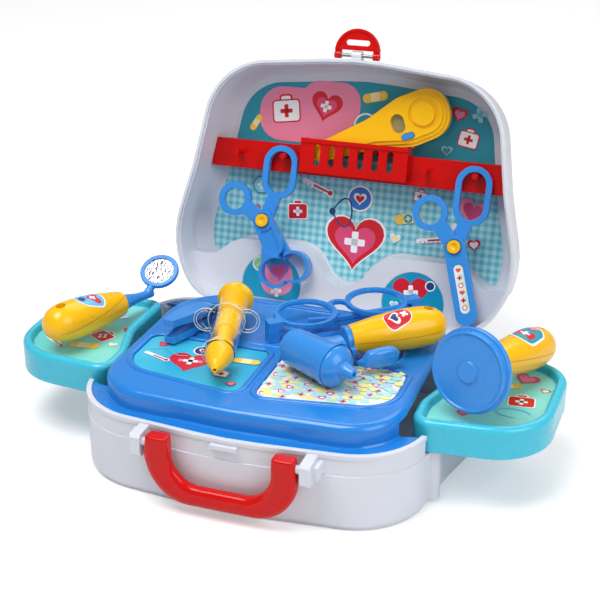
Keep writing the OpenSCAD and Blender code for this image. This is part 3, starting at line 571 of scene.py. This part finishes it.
def deck_skin():
    """The blue deck: crowned top with two beaded panels and a pocket, over a flat lip."""
    bead = corners("tray_deck")[1].z
    top = bead - 1.2
    cut = 56.3               # where the upper walls end and the bays begin
    ledge = SHELL_RIM - 0.5
    sk = Skin("tray_deck_skin")
    profile = [(DECK_WALL, top - 2.2), (DECK_WALL, cut), (0.2, cut), (0, cut + 0.2)]
    profile += arc(4.6, top - 4.6, 4.6, 167, 90, 7)
    rings = [sk.outline(inset_outline(DECK_OUTLINE, DECK_RADII, t, 14), z) for t, z in profile]
    sk.join(rings).lid(rings[0])
    holes = []

    crown = [math.radians(a) for a in range(165, -1, -15)]
    profile = arc(-3.9, top + 0.5, 0.5, 270, 320, 3)
    profile += [(-1.75 + 1.75 * math.cos(a), bead - 1.1 + 1.1 * math.sin(a)) for a in crown]
    profile += [(0, top - 0.5)]
    for flip in (1, -1):
        loop = []
        for t, z in profile:
            pts = inset_outline(PANEL, PANEL_RADII, t, 8)
            loop.append(sk.outline([(flip * x, y) for x, y in pts], z))
        sk.join(loop).lid(loop[-1])
        holes.append(loop[0])

    profile = arc(-2.4, top + 0.5, 0.5, 270, 330, 3) + arc(-0.8, top - 0.1, 0.8, 130, 0, 6)
    profile += [(0, top - 0.7)] + arc(1.0, top, 1.0, 180, 270, 4)
    loop = [sk.outline(inset_outline(POCKET, POCKET_RADII, t, 10), z) for t, z in profile]
    sk.join(loop).lid(loop[-1])
    holes.append(loop[0])
    sk.lid(rings[-1], holes)

    wall = inset_outline(DECK_OUTLINE, DECK_RADII, 0, 14)
    inner = inset_outline(DECK_OUTLINE, DECK_RADII, DECK_WALL, 14)
    lip = inset_outline(LIP_OUTLINE, LIP_RADII, 3.5, 14)
    for in_part in (lambda y: y < BAY_FRONT, lambda y: y > BAY_BACK):
        w, n, f = (spaced(sorted((q for q in pts if in_part(q[1])), key=lambda q: q[0]), 60)
                   for pts in (wall, inner, lip))
        near = [(a[0] + (b[0] - a[0]) * 0.12, a[1] + (b[1] - a[1]) * 0.12) for a, b in zip(w, f)]
        section = ((n, cut + 0.4), (n, ledge - 1.5), (f, ledge - 1.5), (f, ledge - 0.3), (f, ledge),
                   (near, ledge), (w, ledge + 1.0), (w, cut + 0.4))
        loops = [sk.outline(pts, z) for pts, z in section]
        sk.join(loops + loops[:1], closed=False)
        for end in (0, -1):
            sk.bm.faces.new([r[end] for r in loops])
    stand_in(sk.done(mat_sky), "tray_deck", "case")


def handle_skin():
    """The red carry handle: an oval section led round the bail, squarer at its pivots."""
    lo, hi = corners("carry_handle")
    pivot_z = hi.z - 5.6
    y0, half_y = (lo.y + hi.y) / 2, (hi.y - lo.y) / 2
    # (x, height over the pivots) of the outer and inner edge
    outer = [(-43.6, 5.6), (-46.5, -14), (-33, -35.5), (33, -35.5), (46.5, -14), (43.6, 5.6)]
    inner = [(-30.7, 5.6), (-29.5, -12), (-21, -23.5), (21, -23.5), (29.5, -12), (30.7, 5.6)]

    def bend(pts, radii):
        pts = [(x, pivot_z + z) for x, z in pts]
        path = pts[:1]
        for a, b, c, r in zip(pts, pts[1:], pts[2:], radii):
            path += fillet(a, b, c, r, 12)
        return [Vector(p) for p in spaced(path + pts[-1:], 72)]

    edges = list(zip(bend(outer, (27, 25, 25, 27)), bend(inner, (15, 15, 15, 15))))
    sk = Skin("carry_handle_skin")
    rings = []
    for k, (a, b) in enumerate(edges):
        mid, arm = (a + b) / 2, (a - b) / 2
        end = min(k, len(edges) - 1 - k)
        power = 2 / (2.5 + 3.0 * max(0, 1 - end / 9))
        pts = []
        for c, q in circle(0, 0, 1, 32):
            cu, qu = math.copysign(abs(c) ** power, c), math.copysign(abs(q) ** power, q)
            pts.append((mid.x + arm.x * cu, y0 + half_y * qu, mid.y + arm.y * cu))
        rings.append(sk.ring(pts))
    sk.join(rings).lid(rings[0]).lid(rings[-1])
    ob = sk.done(mat_red, 60)
    round_edges(ob, 1.2, 60)
    stand_in(ob, "carry_handle", "handle")


wing_skin(-1)
wing_skin(1)
deck_skin()
handle_skin()

# ---- grounds of the labels -------------------------------------------------------------
hinge = Vector(joints["lid_hinge"]["pos_m"])
lean = math.asin(joints["forceps_off_peg"]["axis"][2])
UP = Vector((0, math.sin(lean), math.cos(lean)))     # up the opened lid
IN = Vector((0, math.cos(lean), -math.sin(lean)))    # into the opened lid
LABEL_DEPTH = 49.78  # from the hinge into the lid, to the plane of its label
SPLIT = 112 * MM     # from the hinge up to where the lid label changes from check to plain
CHECK = 5.2 * MM     # period of the check


def paint_lid(nt, coord):
    height = maths(nt, "SUBTRACT", along(nt, coord, UP), hinge.dot(UP))
    columns, rows = stripes(nt, along(nt, coord, X), CHECK), stripes(nt, height, CHECK)
    both = maths(nt, "MULTIPLY", maths(nt, "ADD", columns, rows), 0.5)
    check = mix_colour(nt, both, srgb(176, 226, 232), srgb(92, 186, 204))
    return mix_colour(nt, maths(nt, "GREATER_THAN", height, SPLIT), check, srgb(32, 150, 172))


def cloudy(name, colour, other, scale=40):
    """A printed film that wanders softly between two colours."""
    return printed(name, lambda nt, coord: ramp(nt, noise(nt, scale), colour, other))


dress("lid_label", printed("lid_print", paint_lid))
dress("lid_roundel_left", cloudy("roundel_left", srgb(0, 150, 190), srgb(20, 164, 200)))
dress("lid_roundel_right", cloudy("roundel_right", srgb(0, 144, 190), srgb(18, 158, 200)))
dress("deck_label_left", cloudy("deck_left", srgb(20, 170, 214), srgb(70, 196, 226), 22))
dress("deck_label_right", cloudy("deck_right", srgb(232, 236, 230), srgb(240, 242, 238)))
dress("scissors_label", cloudy("blade_print", srgb(224, 238, 236), srgb(236, 244, 240)))
mint = cloudy("tray_print", srgb(106, 212, 208), srgb(140, 226, 216), 22)
dress("wing_left_label", mint)
dress("wing_right_label", mint)

# ---- prints ----------------------------------------------------------------------------
DROP = 60 * MM       # a draped print is dropped from this far off its plane
LAYER = 0.025        # each shape lies this much over the one before
FINE_LAYER = 0.07    # the same on a curved grip
THIN = 0.001         # for shapes that belong to one motif
DUST = 0.0004        # for a pattern of many shapes


class Sheet:
    """A flat or draped place for prints: u, v from an origin, height h above it."""

    def __init__(self, origin, u, v, body):
        self.o, self.u, self.v, self.body = Vector(origin), Vector(u), Vector(v), body
        self.n = self.u.cross(self.v).normalized()
        self.tree = None

    def at(self, u, v, h):
        p = self.o + self.u * (u * MM) + self.v * (v * MM)
        if self.tree:
            hit, out = self.tree.ray_cast(p + self.n * DROP, -self.n, 2 * DROP)[:2]
            if hit:
                return hit + out * math.copysign(h * MM, out.dot(self.n))
        return p + self.n * (h * MM)

    def drape(self, *names):
        bm = bmesh.new()
        for n in names:
            bm.from_mesh(nodes[n].data)
        self.tree = BVHTree.FromBMesh(bm)
        bm.free()
        return self


class Print:
    """Coloured shapes printed on a Sheet, joined into one piece.

    fine is the greatest gap, in millimetres, between the rings that a shape on a curved sheet
    is drawn in; with 0 a shape is one flat face.
    """

    def __init__(self, name, sheet, level=0.06, fine=0.0):
        self.name, self.sheet, self.h, self.fine = name, sheet, level, fine
        self.bm = bmesh.new()
        self.inks = []

    def ink(self, colour):
        """Number of a colour among this print's materials."""
        if colour not in self.inks:
            self.inks.append(colour)
        return self.inks.index(colour)

    def row(self, pts):
        return [self.bm.verts.new(self.sheet.at(x, y, self.h)) for x, y in pts]

    def shape(self, pts, colour, step=LAYER):
        k = self.ink(colour)
        self.h += max(step, FINE_LAYER) if self.fine else step
        if not self.fine:
            self.bm.faces.new(self.row(pts)).material_index = k
            return
        n = len(pts)
        cx, cy = (sum(p[i] for p in pts) / n for i in (0, 1))
        size = max(math.dist(p, (cx, cy)) for p in pts)
        rings = max(1, int(size / self.fine))
        last = self.row([(cx, cy)])
        for i in range(1, rings + 1):
            f = i / rings
            ring = self.row([(cx + (x - cx) * f, cy + (y - cy) * f) for x, y in pts])
            for j in range(n):
                m = (j + 1) % n
                if i == 1:
                    face = (last[0], ring[j], ring[m])
                else:
                    face = (last[j], ring[j], ring[m], last[m])
                self.bm.faces.new(face).material_index = k
            last = ring

    def done(self):
        me = bpy.data.meshes.new(self.name)
        self.bm.normal_update()
        self.bm.to_mesh(me)
        self.bm.free()
        for c in self.inks:
            me.materials.append(inks[c])
        if self.fine:
            me.shade_smooth()
        ob = add_object(self.name, me)
        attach(ob, self.sheet.body)

    # motifs
    def cross(self, cx, cy, size, colour, turn=0.0):
        w = size * 0.32
        self.shape(rounded(cx, cy, size, w, w * 0.2, turn), colour)
        self.shape(rounded(cx, cy, w, size, w * 0.2, turn), colour, 0.0)

    def love(self, cx, cy, size, outer="red", inner="pink", turn=0.0):
        self.shape(heart(cx, cy, size, turn), outer)
        self.shape(heart(cx, cy - size * 0.02, size * 0.66, turn), inner)

    def kit(self, cx, cy, size, case="red", mark="white", turn=0.0):
        (hx, hy), = place([(0, size * 0.4)], cx, cy, turn)
        self.shape(rounded(hx, hy, size * 0.46, size * 0.32, size * 0.1, turn), mark)
        self.shape(rounded(hx, hy, size * 0.34, size * 0.2, size * 0.07, turn), case)
        self.shape(rounded(cx, cy, size, size * 0.78, size * 0.14, turn), mark)
        self.shape(rounded(cx, cy, size * 0.9, size * 0.68, size * 0.1, turn), case)
        self.cross(cx, cy, size * 0.44, mark, turn)

    def plaster(self, cx, cy, size, turn=0.0):
        self.shape(rounded(cx, cy, size, size * 0.36, size * 0.17, turn), "yellow")
        self.shape(rounded(cx, cy, size * 0.36, size * 0.34, size * 0.03, turn), "cream")
        for k in (-1, 1):
            for dx, dy in ((0.28, 0.07), (0.36, 0.0), (0.28, -0.07)):
                (px, py), = place([(k * dx * size, dy * size)], cx, cy, turn)
                self.shape(circle(px, py, size * 0.018, 8), "cream", THIN)

    def pill(self, cx, cy, size, turn=0.0, a="red", b="white"):
        self.shape(rounded(cx, cy, size, size * 0.42, size * 0.2, turn), b)
        half = [(x, y) for x, y in rounded(0, 0, size, size * 0.42, size * 0.2) if x <= 0]
        self.shape(place(half, cx, cy, turn), a)

    def thermometer(self, cx, cy, size, turn=0.0):
        self.shape(rounded(cx, cy, size, size * 0.16, size * 0.08, turn), "white")
        (bx, by), (mx, my) = place([(-size * 0.44, 0), (-size * 0.16, 0)], cx, cy, turn)
        self.shape(circle(bx, by, size * 0.11, 20), "white")
        self.shape(circle(bx, by, size * 0.075, 18), "red")
        self.shape(rounded(mx, my, size * 0.56, size * 0.055, size * 0.02, turn), "red")
        for k in range(5):
            (tx, ty), = place([(size * (-0.2 + 0.14 * k), size * 0.045)], cx, cy, turn)
            self.shape(rounded(tx, ty, size * 0.02, size * 0.05, size * 0.005, turn), "navy", THIN)

    def band(self, pts, width, colour):
        """A ribbon along a list of points."""
        left, right = [], []
        for i, (x, y) in enumerate(pts):
            a, b = pts[max(0, i - 1)], pts[min(len(pts) - 1, i + 1)]
            d = math.dist(a, b) or 1
            nx, ny = -(b[1] - a[1]) / d * width / 2, (b[0] - a[0]) / d * width / 2
            left.append((x + nx, y + ny))
            right.append((x - nx, y - ny))
        k = self.ink(colour)
        self.h += 0.02
        a, b = self.row(left), self.row(right)
        for i in range(len(pts) - 1):
            self.bm.faces.new((b[i], b[i + 1], a[i + 1], a[i])).material_index = k


def print_lid():
    """Upper and lower half of the lid label: x across, y up from the hinge."""
    sheet = Sheet(hinge + IN * (LABEL_DEPTH * MM), X, UP, "lid").drape("lid_label")
    p = Print("lid_motifs_upper", sheet)
    p.shape(rounded(-43, 139, 70, 38, 17), "pink")
    p.shape(rounded(-26, 148, 44, 32, 14), "pink", THIN)
    p.kit(-58, 141, 21, "white", "red", 8)
    p.love(-29, 146, 23, "red", "rose", -10)
    p.cross(-29, 146.5, 8, "white", -10)
    p.shape(circle(1, 136, 8.6), "white")
    p.shape(circle(1, 136, 7.4), "teal")
    p.pill(1, 136, 9, 35, "red", "white")
    p.plaster(-80, 131, 13, 60)
    p.plaster(6, 156, 18, 14)
    p.love(36, 126, 9, "red", "white", 15)
    p.kit(74, 133, 14, "white", "red", -10)
    p.love(60, 124, 8, "aqua", "teal", 0)
    p.cross(80, 150, 10, "aqua", 15)
    p.love(66, 149, 11, "red", "pink", -12)
    p.done()

    p = Print("lid_motifs_lower", sheet)
    p.shape(heart(1, 53, 45, 0), "white")
    p.shape(heart(1, 53, 42, 0), "red")
    p.shape(heart(1, 52, 30, 0), "rose")
    p.cross(1, 54, 15, "white")
    p.shape(circle(2, 85, 9.2), "white")
    p.shape(circle(2, 85, 8), "blue")
    p.love(2, 84.6, 9.5, "white", "red")
    loop = [(-12 + 9 * math.cos(t / 10), 74 + 10 * math.sin(t / 7)) for t in range(-22, 23)]
    p.band(loop, 1.1, "navy")
    p.shape(circle(*loop[-1], 2.4, 16), "navy")
    p.kit(-43, 71, 15, "red", "white", 6)
    p.thermometer(-30, 90, 24, 160)
    p.love(-76, 67, 11, "red", "pink", 20)
    p.pill(-58, 60, 9, -20, "white", "aqua")
    p.shape(circle(-72, 87, 6.6), "teal")
    p.shape(circle(-72, 87, 5.4), "aqua")
    p.cross(-72, 87, 6, "white")
    p.plaster(38, 75, 19, 12)
    p.shape(circle(38, 75, 3.2, 18), "teal")
    p.cross(38, 75, 3.6, "cream", 12)
    p.love(30, 60, 8, "white", "cream", -8)
    p.thermometer(56, 62, 22, -170)
    p.kit(45, 91, 9, "white", "red", -6)
    p.shape(heart(82, 84, 21, -14), "pink")
    p.shape(heart(82, 84, 14, -14), "rose")
    p.love(86, 62, 9, "red", "white", 10)
    p.pill(70, 72, 8, 60, "blue", "white")
    p.done()


def print_roundels():
    """The two round lid labels, from their middles."""
    def start(side):
        name = "lid_roundel_" + side
        return Print("roundel_motifs_" + side, Sheet(middle(name), X, UP, "lid").drape(name))

    p = start("left")
    p.shape(rounded(3, 2, 24, 30, 10, 12), "pink")
    p.love(5, 4, 15, "violet", "rose", 10)
    p.shape(circle(-10, 8, 5.2, 24), "white")
    p.shape(circle(-10, 8, 4.4, 24), "green")
    p.thermometer(-10, 8, 7, 40)
    p.plaster(1, 15, 9, 20)
    p.cross(4, -10, 8, "white", 12)
    p.done()

    p = start("right")
    p.shape(heart(-2, 1, 25, 6), "red")
    p.cross(-2, 2, 10, "white", 6)
    p.shape(circle(11, 8, 3.6, 20), "white")
    p.shape(circle(11, 8, 2.8, 20), "navy")
    p.plaster(8, -9, 11, -25)
    p.love(-13, -8, 6, "white", "aqua")
    p.done()


def flat_sheet(label, body):
    return Sheet((0, 0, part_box(label)[1].z), X, Y, body)


def print_deck_left():
    p = Print("deck_motifs_left", flat_sheet("deck_label_left", "case"))
    p.shape(heart(-46, -29, 27, 8), "red")
    p.shape(rounded(-46, -27, 15, 3.2, 1, 8), "pink")
    p.cross(-46, -27, 9, "white", 8)
    p.shape(circle(-44, -12, 6.2), "white")
    p.shape(circle(-44, -12, 5.2), "navy")
    p.love(-44, -12.3, 6, "white", "red")
    p.love(-71, -12, 7, "red", "rose", -20)
    p.thermometer(-68, -28, 19, 160)
    p.plaster(-14, -17, 17, 4)
    p.kit(-22, -37, 9, "white", "red", 0)
    p.love(-12, -47, 6, "red", "pink", 15)
    p.band([(-76 + t, -20 + 3.4 * math.sin(t / 4.6)) for t in range(0, 27)], 0.5, "aqua")
    p.pill(-28, -9, 7, 30, "red", "white")
    p.done()


DABS = ("pale_yellow", "pale_aqua"), ("pale_aqua", "pale_sky"), ("pale_green", "pale_yellow")


def print_deck_right():
    """Staggered pattern of pale dabs, with a small motif on every other place."""
    p = Print("deck_motifs_right", flat_sheet("deck_label_right", "case"))
    for row in range(-8, 2):
        for col in range(0, 13):
            x, y = 8.4 + col * 6.2 + (row % 2) * 3.1, row * 5.9 - 3.4
            edge = -53.4 + max(0, x - 14) * 0.158      # the label's slanting front edge
            if x > 78 or y < edge + (6 if x > 68 else 1.2) or y > -2.5:
                continue
            spin = (row * 37 + col * 61) % 50 - 25
            size = 2.5 + 0.4 * ((row + col) % 2)
            for i, dab in enumerate(DABS[(row + col) % 3]):
                a = spin * 0.07 + i * 2.6 + col
                spot = circle(x + 3.0 * math.cos(a), y + 2.4 * math.sin(a), size, 16, 0.8)
                p.shape(spot, dab, DUST)
            if (row + col) % 2:
                continue
            kind = (row * 5 + col * 3) % 4
            if kind == 0:
                p.shape(heart(x, y, 5.2, spin, 20), "magenta", DUST)
                p.shape(heart(x, y, 2.8, spin, 16), "white", DUST)
            elif kind == 1:
                p.shape(circle(x, y, 2.7, 18), "magenta", DUST)
                p.shape(circle(x, y, 2.0, 18), "white", DUST)
                p.shape(heart(x, y, 2.4, spin, 14), "magenta", DUST)
            elif kind == 2:
                p.cross(x, y, 4.4, "pink", spin)
            else:
                p.shape(heart(x, y, 4.8, spin, 20), "pink", DUST)
    p.done()


def print_tray(side):
    label = "wing_%s_label" % side
    lo, hi = corners(label)
    x, y = (lo.x + hi.x) / 2, (lo.y + hi.y) / 2
    p = Print("tray_motifs_" + side, flat_sheet(label, side + "_tray"))
    if side == "left":
        p.kit(x + 10, y - 4, 15, "red", "white", -30)
        p.love(x + 21, y + 9, 7, "red", "rose", -10)
        p.plaster(x + 5, y - 20, 20, 8)
        p.thermometer(x - 15, y - 21, 18, 150)
        p.love(x + 22, y - 14, 6, "white", "cream")
        p.cross(x - 25, y + 2, 9, "red", 10)
        p.love(x - 6, y + 22, 9, "red", "white", 12)
        p.pill(x + 10, y + 25, 8, 30)
    else:
        p.kit(x + 16, y - 3, 16, "red", "white", 6)
        p.love(x + 27, y + 14, 6, "red", "white", -10)
        p.love(x - 13, y - 27, 8, "red", "rose", 4)
        p.plaster(x + 6, y + 13, 15, 25)
        p.shape(heart(x + 14, y + 25, 15, -18), "rose")
        p.shape(heart(x + 14, y + 25, 10, -18), "pink")
        turns = [a / 6 for a in range(2, 30)]
        p.band([(x + 14 + 10 * math.cos(a), y - 18 + 5 * math.sin(a)) for a in turns], 0.7, "sky")
        p.thermometer(x - 6, y + 2, 16, 20)
        p.cross(x - 18, y - 9, 8, "white", 10)
    p.done()


def print_blade():
    """Small motifs down the scissors' blade label."""
    label = "scissors_label"
    lo, hi = corners(label)
    sheet = Sheet(middle(label), X, UP, body_of[label]).drape(label)
    p = Print("blade_motifs", sheet, 0.03)
    pale = ("pale_yellow", "pale_aqua", "pale_green")
    reach_x, reach_y = (hi.x - lo.x) / 2 - 2.4, (hi.z - lo.z) / 2
    for k in range(6):
        f = -0.8 + 1.6 * k / 5
        x, y = reach_x * f, -reach_y * f
        p.shape(circle(x + 0.8, y + 1.4, 1.5, 14), pale[k % 3])
        if k % 3 == 0:
            p.shape(heart(x, y, 3.6, 12, 20), "rose")
        elif k % 3 == 1:
            p.cross(x, y, 3.2, "red", 10)
        else:
            p.shape(circle(x, y, 1.7, 16), "rose")
            p.shape(circle(x, y, 1.1, 14), "white")
    p.done()


print_lid()
print_roundels()
print_deck_left()
print_deck_right()
print_tray("left")
print_tray("right")


# ---- yellow handles: parting line and sticker ------------------------------------------
TAIL_POINTS = 24     # mesh points that make up the end of a grip's tail
SEAM_START, SEAM_STEP, SEAM_STEPS = 1.5, 1.25, 47
SEAM_HALF, SEAM_PROUD = 0.22, 0.06


def grip_axis(name, head):
    """Middle of a grip's neck face, and the direction from there to its tail."""
    pts = points_of(name + "_grip_top", name + "_grip_bottom")
    axis = (sum(pts, Vector()) / len(pts) - middle(head)).normalized()
    for _ in range(4):
        pts.sort(key=lambda p: p.dot(axis))
        tail = sum(pts[-TAIL_POINTS:], Vector()) / TAIL_POINTS
        neck = [p for p in pts if p.dot(axis) < pts[0].dot(axis) + 0.3 * MM]
        foot = Vector([(min(p[k] for p in neck) + max(p[k] for p in neck)) / 2 for k in range(3)])
        axis = (tail - foot).normalized()
    return foot, axis


def trim_grip(name, head, u, v, draw):
    """Parting line all along a grip, and its sticker u from the neck and v to the side."""
    foot, axis = grip_axis(name, head)
    side = Z.cross(axis).normalized()
    up = axis.cross(side)
    body = body_of[name + "_grip_top"]
    sheet = Sheet(foot + axis * (u * MM) + side * (v * MM), axis, side, body)
    sheet.drape(name + "_grip_top", name + "_grip_bottom")
    seam = Skin(name + "_grip_seam")
    for k in (-1, 1):
        edges = ([], [])
        for step in range(SEAM_STEPS):
            p = foot + axis * ((SEAM_START + SEAM_STEP * step) * MM) + side * (k * 30 * MM)
            for edge, d in zip(edges, (-SEAM_HALF, SEAM_HALF)):
                hit = sheet.tree.ray_cast(p + up * (d * MM), side * -k, 30 * MM)[0]
                if hit:
                    edge.append(seam.bm.verts.new(hit + side * (k * SEAM_PROUD * MM)))
        n = min(len(e) for e in edges)
        seam.join([e[:n] for e in edges], closed=False)
    line = seam.done(mat_seam)
    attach(line, body)
    sticker = Print(name + "_grip_sticker", sheet, 0.1, 1.3)
    draw(sticker)
    sticker.done()


def heart_sticker(p):
    p.shape(rounded(0, 0, 18, 12, 5.5, 0, 8), "white")
    p.shape(rounded(0, 0, 17, 11, 5, 0, 8), "red")
    p.shape(heart(-2.6, 0.2, 8.4, -100, 30), "white")
    p.cross(4.6, 0, 5, "white", 45)
    p.shape(heart(-2.6, 0.2, 5.4, -100, 24), "navy")


def cross_sticker(p):
    p.shape(rounded(0, 0, 20, 14, 6.5, -8, 8), "white")
    p.shape(rounded(0, 0, 18.6, 12.6, 6, -8, 8), "sky")
    p.shape(heart(-2, 0.4, 10, 80, 30), "red")
    p.cross(-2, 0.4, 4.4, "white", 10)
    p.shape(circle(6, 0, 2.2, 18), "navy")


def kit_sticker(p):
    p.shape(rounded(0, 0, 24, 16, 7, 10, 8), "white")
    p.shape(rounded(0, 0, 22, 14, 6.2, 10, 8), "teal")
    p.shape(rounded(-3, 0, 9, 11, 2, 10, 5), "red")
    p.cross(-3, 0, 6, "white", 10)
    p.shape(heart(6.4, 1.4, 6.4, -70, 24), "pink")


trim_grip("oto", "oto_head", 29, -2, heart_sticker)
trim_grip("mirror", "mirror_stem", 28, 2, cross_sticker)
trim_grip("disc", "disc_head", 33, -3, kit_sticker)


# ---- otoscope's lever and painted gap shade, syringe's painted edge highlights ---------
LEVER_TILT = 9       # degrees that it leans away from the grip's axis
LEVER_OUT = 10.6     # from the grip's axis out to its back
LEVER_BACK = 2       # from the grip's neck back to its hub
GROOVES, GROOVE_HALF, GROOVE_DEPTH = (-2.2, 1.8), 0.55, 0.8


def lever_stops():
    """(place along the lever, half width, thickness, sideways shift) of each of its sections."""
    stops = [(-2.6, 0.6, 0.8, 6.4), (-2.2, 1.5, 2.4, 6.4), (-1.0, 2.1, 4.0, 6.4),
             (0.6, 3.0, 5.8, 6.0), (1.8, 4.2, 6.8, 4.8)]
    for k in range(15):
        z = 3 + 20.6 * (1 - math.cos(math.pi * k / 14)) / 2
        e = abs(z - 13.3) / 10.3
        drop = 0.86 if z > 13 else 0.22
        stops.append((z, 6.0 * (1 - e ** 3 * drop), 8.0 * (1 - e ** 3.4 * drop * 0.75), 4.0))
    return stops


def lever_skin():
    """Thick thumb lever: a hub at its pin, a widening arm and a rounded pad with two grooves."""
    foot, axis = grip_axis("oto", "oto_head")
    side = Z.cross(axis).normalized()
    down = side.cross(axis).normalized()
    if down.z > 0:
        down = -down
    tilt = Matrix.Rotation(math.radians(LEVER_TILT), 3, "X")
    sk = Skin("oto_lever_skin")
    rings = []
    for z, w, t, shift in lever_stops():
        ring = []
        for c, q in circle(0, 0, 1, 36):
            x = w * math.copysign(abs(c) ** 0.75, c)
            y = t / 2 * (math.copysign(abs(q) ** 0.75, q) - 1)
            if q < 0 and 6 < z < 21:
                dip = sum(math.exp(-((x - g) / GROOVE_HALF) ** 2) for g in GROOVES)
                y += GROOVE_DEPTH * dip * math.sin(math.pi * (z - 6) / 15) ** 0.5
            v = tilt @ Vector((0, y, z))
            p = down * (shift + x) + side * (v.y - LEVER_OUT) + axis * (v.z - LEVER_BACK)
            ring.append(sk.bm.verts.new(foot + p * MM))
        rings.append(ring)
    sk.join(rings).lid(rings[0]).lid(rings[-1])
    stand_in(sk.done(mat_blue, 50), "oto_lever", body_of["oto_lever"])


OTO_HEADING = math.radians(-27.4)    # the way its nozzle points, seen from above
CAP_RADIUS = 12.62
CAP_JOINT = 4.1      # from the cap's back end forward to its joint line


def oto_gap_shade():
    """Dark ring painted as the shade of the gap at the joint between the otoscope's head and its front cap."""
    axis = Vector((math.cos(OTO_HEADING), math.sin(OTO_HEADING), 0))
    cap = middle("oto_cap")
    back = min(p.dot(axis) for p in points_of("oto_cap")) + CAP_JOINT * MM
    sk = Skin("oto_gap_shade")
    profile = [(CAP_RADIUS + r, h) for r, h in ((0, -0.3), (0.42, -0.2), (0.42, 0.2), (0, 0.3))]
    sk.hoop(cap + axis * (back - cap.dot(axis)), axis, Z.cross(axis), profile, steps=64)
    ob = sk.done(mat_gap_shade, 60)
    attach(ob, body_of["oto_head"])


BARREL = 8.95        # outer radius of the syringe's barrel
EAR = 7.8            # outer radius of its finger rings


def highlight_rings():
    """Pale opaque wires that paint highlights on the edges of the syringe's finger rings, mouth and front end."""
    axis = Vector(joints["plunger_slide"]["axis"]).normalized()
    side = Z.cross(axis).normalized()
    nozzle = middle("syringe_nozzle")
    if (nozzle - middle("syringe_barrel")).dot(axis) < 0:
        axis = -axis
    pts = points_of("syringe_barrel")
    start = nozzle + axis * (min(p.dot(axis) for p in pts) - nozzle.dot(axis))
    end = nozzle + axis * (max(p.dot(axis) for p in pts) - nozzle.dot(axis))
    ear = max(abs((p - nozzle).dot(side)) for p in pts) / MM - EAR
    sk = Skin("syringe_painted_highlights")

    def wire(centre, r, thick, a0=0, a1=360):
        turns = [math.pi * k / 4 for k in range(8)]
        section = [(r + thick * math.cos(b), thick * math.sin(b)) for b in turns]
        sk.hoop(centre, axis, side, section, a0, a1)

    mouth = start + axis * (0.9 * MM)
    for k, turn in ((-1, 180), (1, 0)):
        centre = mouth + side * (k * ear * MM)
        wire(centre, 7.7, 0.32, turn - 118, turn + 118)
        wire(centre, 6.1, 0.24, turn - 100, turn + 100)
    wire(mouth, BARREL + 2.5, 0.3)
    wire(end - axis * (0.3 * MM), BARREL, 0.26)
    ob = sk.done(mat_edge_highlight, 60)
    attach(ob, body_of["syringe_barrel"])


lever_skin()
highlight_rings()
oto_gap_shade()
print_blade()


# ---- stage, in metres ------------------------------------------------------------------
def look_at(ob, target):
    ob.rotation_euler = (Vector(target) - ob.location).to_track_quat("-Z", "Y").to_euler()


def lamp(name, location, size, power):
    data = bpy.data.lights.new(name, "AREA")
    data.shape = "RECTANGLE"
    data.size, data.size_y = size
    data.energy = power
    ob = add_object(name, data)
    ob.location = location
    look_at(ob, (0, 0, 0.08))


camera = add_object("camera", bpy.data.cameras.new("camera"))
camera.data.lens = 74.08
camera.data.sensor_width = 36
camera.location = (0.23224, -0.62715, 0.39446)
look_at(camera, (0.01052, 0.00953, 0.09303))
bpy.context.scene.camera = camera

lamp("key", (-0.25, -0.4, 1.4), (0.8, 0.8), 15)
lamp("fill", (1.2, -0.5, 0.9), (1.0, 1.0), 9)
lamp("back", (0.1, 1.1, 1.3), (1.4, 0.7), 6)


def white_world(light, seen):
    """World that lights with one strength and looks white to the camera with another."""
    world = bpy.data.worlds.new("studio")
    bpy.context.scene.world = world
    world.use_nodes = True
    nt = world.node_tree
    lighting = put(nt.nodes["Background"], Color=(1, 1, 1, 1), Strength=light)
    backdrop = shader(nt, "Background", Color=(1, 1, 1, 1), Strength=seen)
    surface = nt.nodes["World Output"].inputs["Surface"]
    choose(nt, "Is Camera Ray", lighting.outputs[0], backdrop.outputs[0], surface)


def white_floor():
    """Pale floor, lifted to white where the camera looks at it, more so away from the case."""
    bpy.ops.mesh.primitive_plane_add(size=12, location=(0, 0, 0))
    floor = bpy.context.object
    floor.name = "floor"
    m, nt, b = new_material("floor")
    put(b, Base_Color=(0.82, 0.82, 0.83, 1), Roughness=0.7)
    away = shader(nt, "VectorMath")
    away.operation = "LENGTH"
    nt.links.new(object_coord(nt), away.inputs[0])
    glow = shader(nt, "Emission")
    nt.links.new(remap(nt, away.outputs["Value"], 0.30, 0.64, 0.5, 2.6), glow.inputs["Strength"])
    lit = shader(nt, "AddShader")
    nt.links.new(b.outputs[0], lit.inputs[0])
    nt.links.new(glow.outputs[0], lit.inputs[1])
    surface = nt.nodes["Material Output"].inputs["Surface"]
    choose(nt, "Is Camera Ray", b.outputs[0], lit.outputs[0], surface)
    floor.data.materials.append(m)


white_world(0.34, 0.97)
white_floor()
bpy.context.scene.view_settings.view_transform = "Standard"
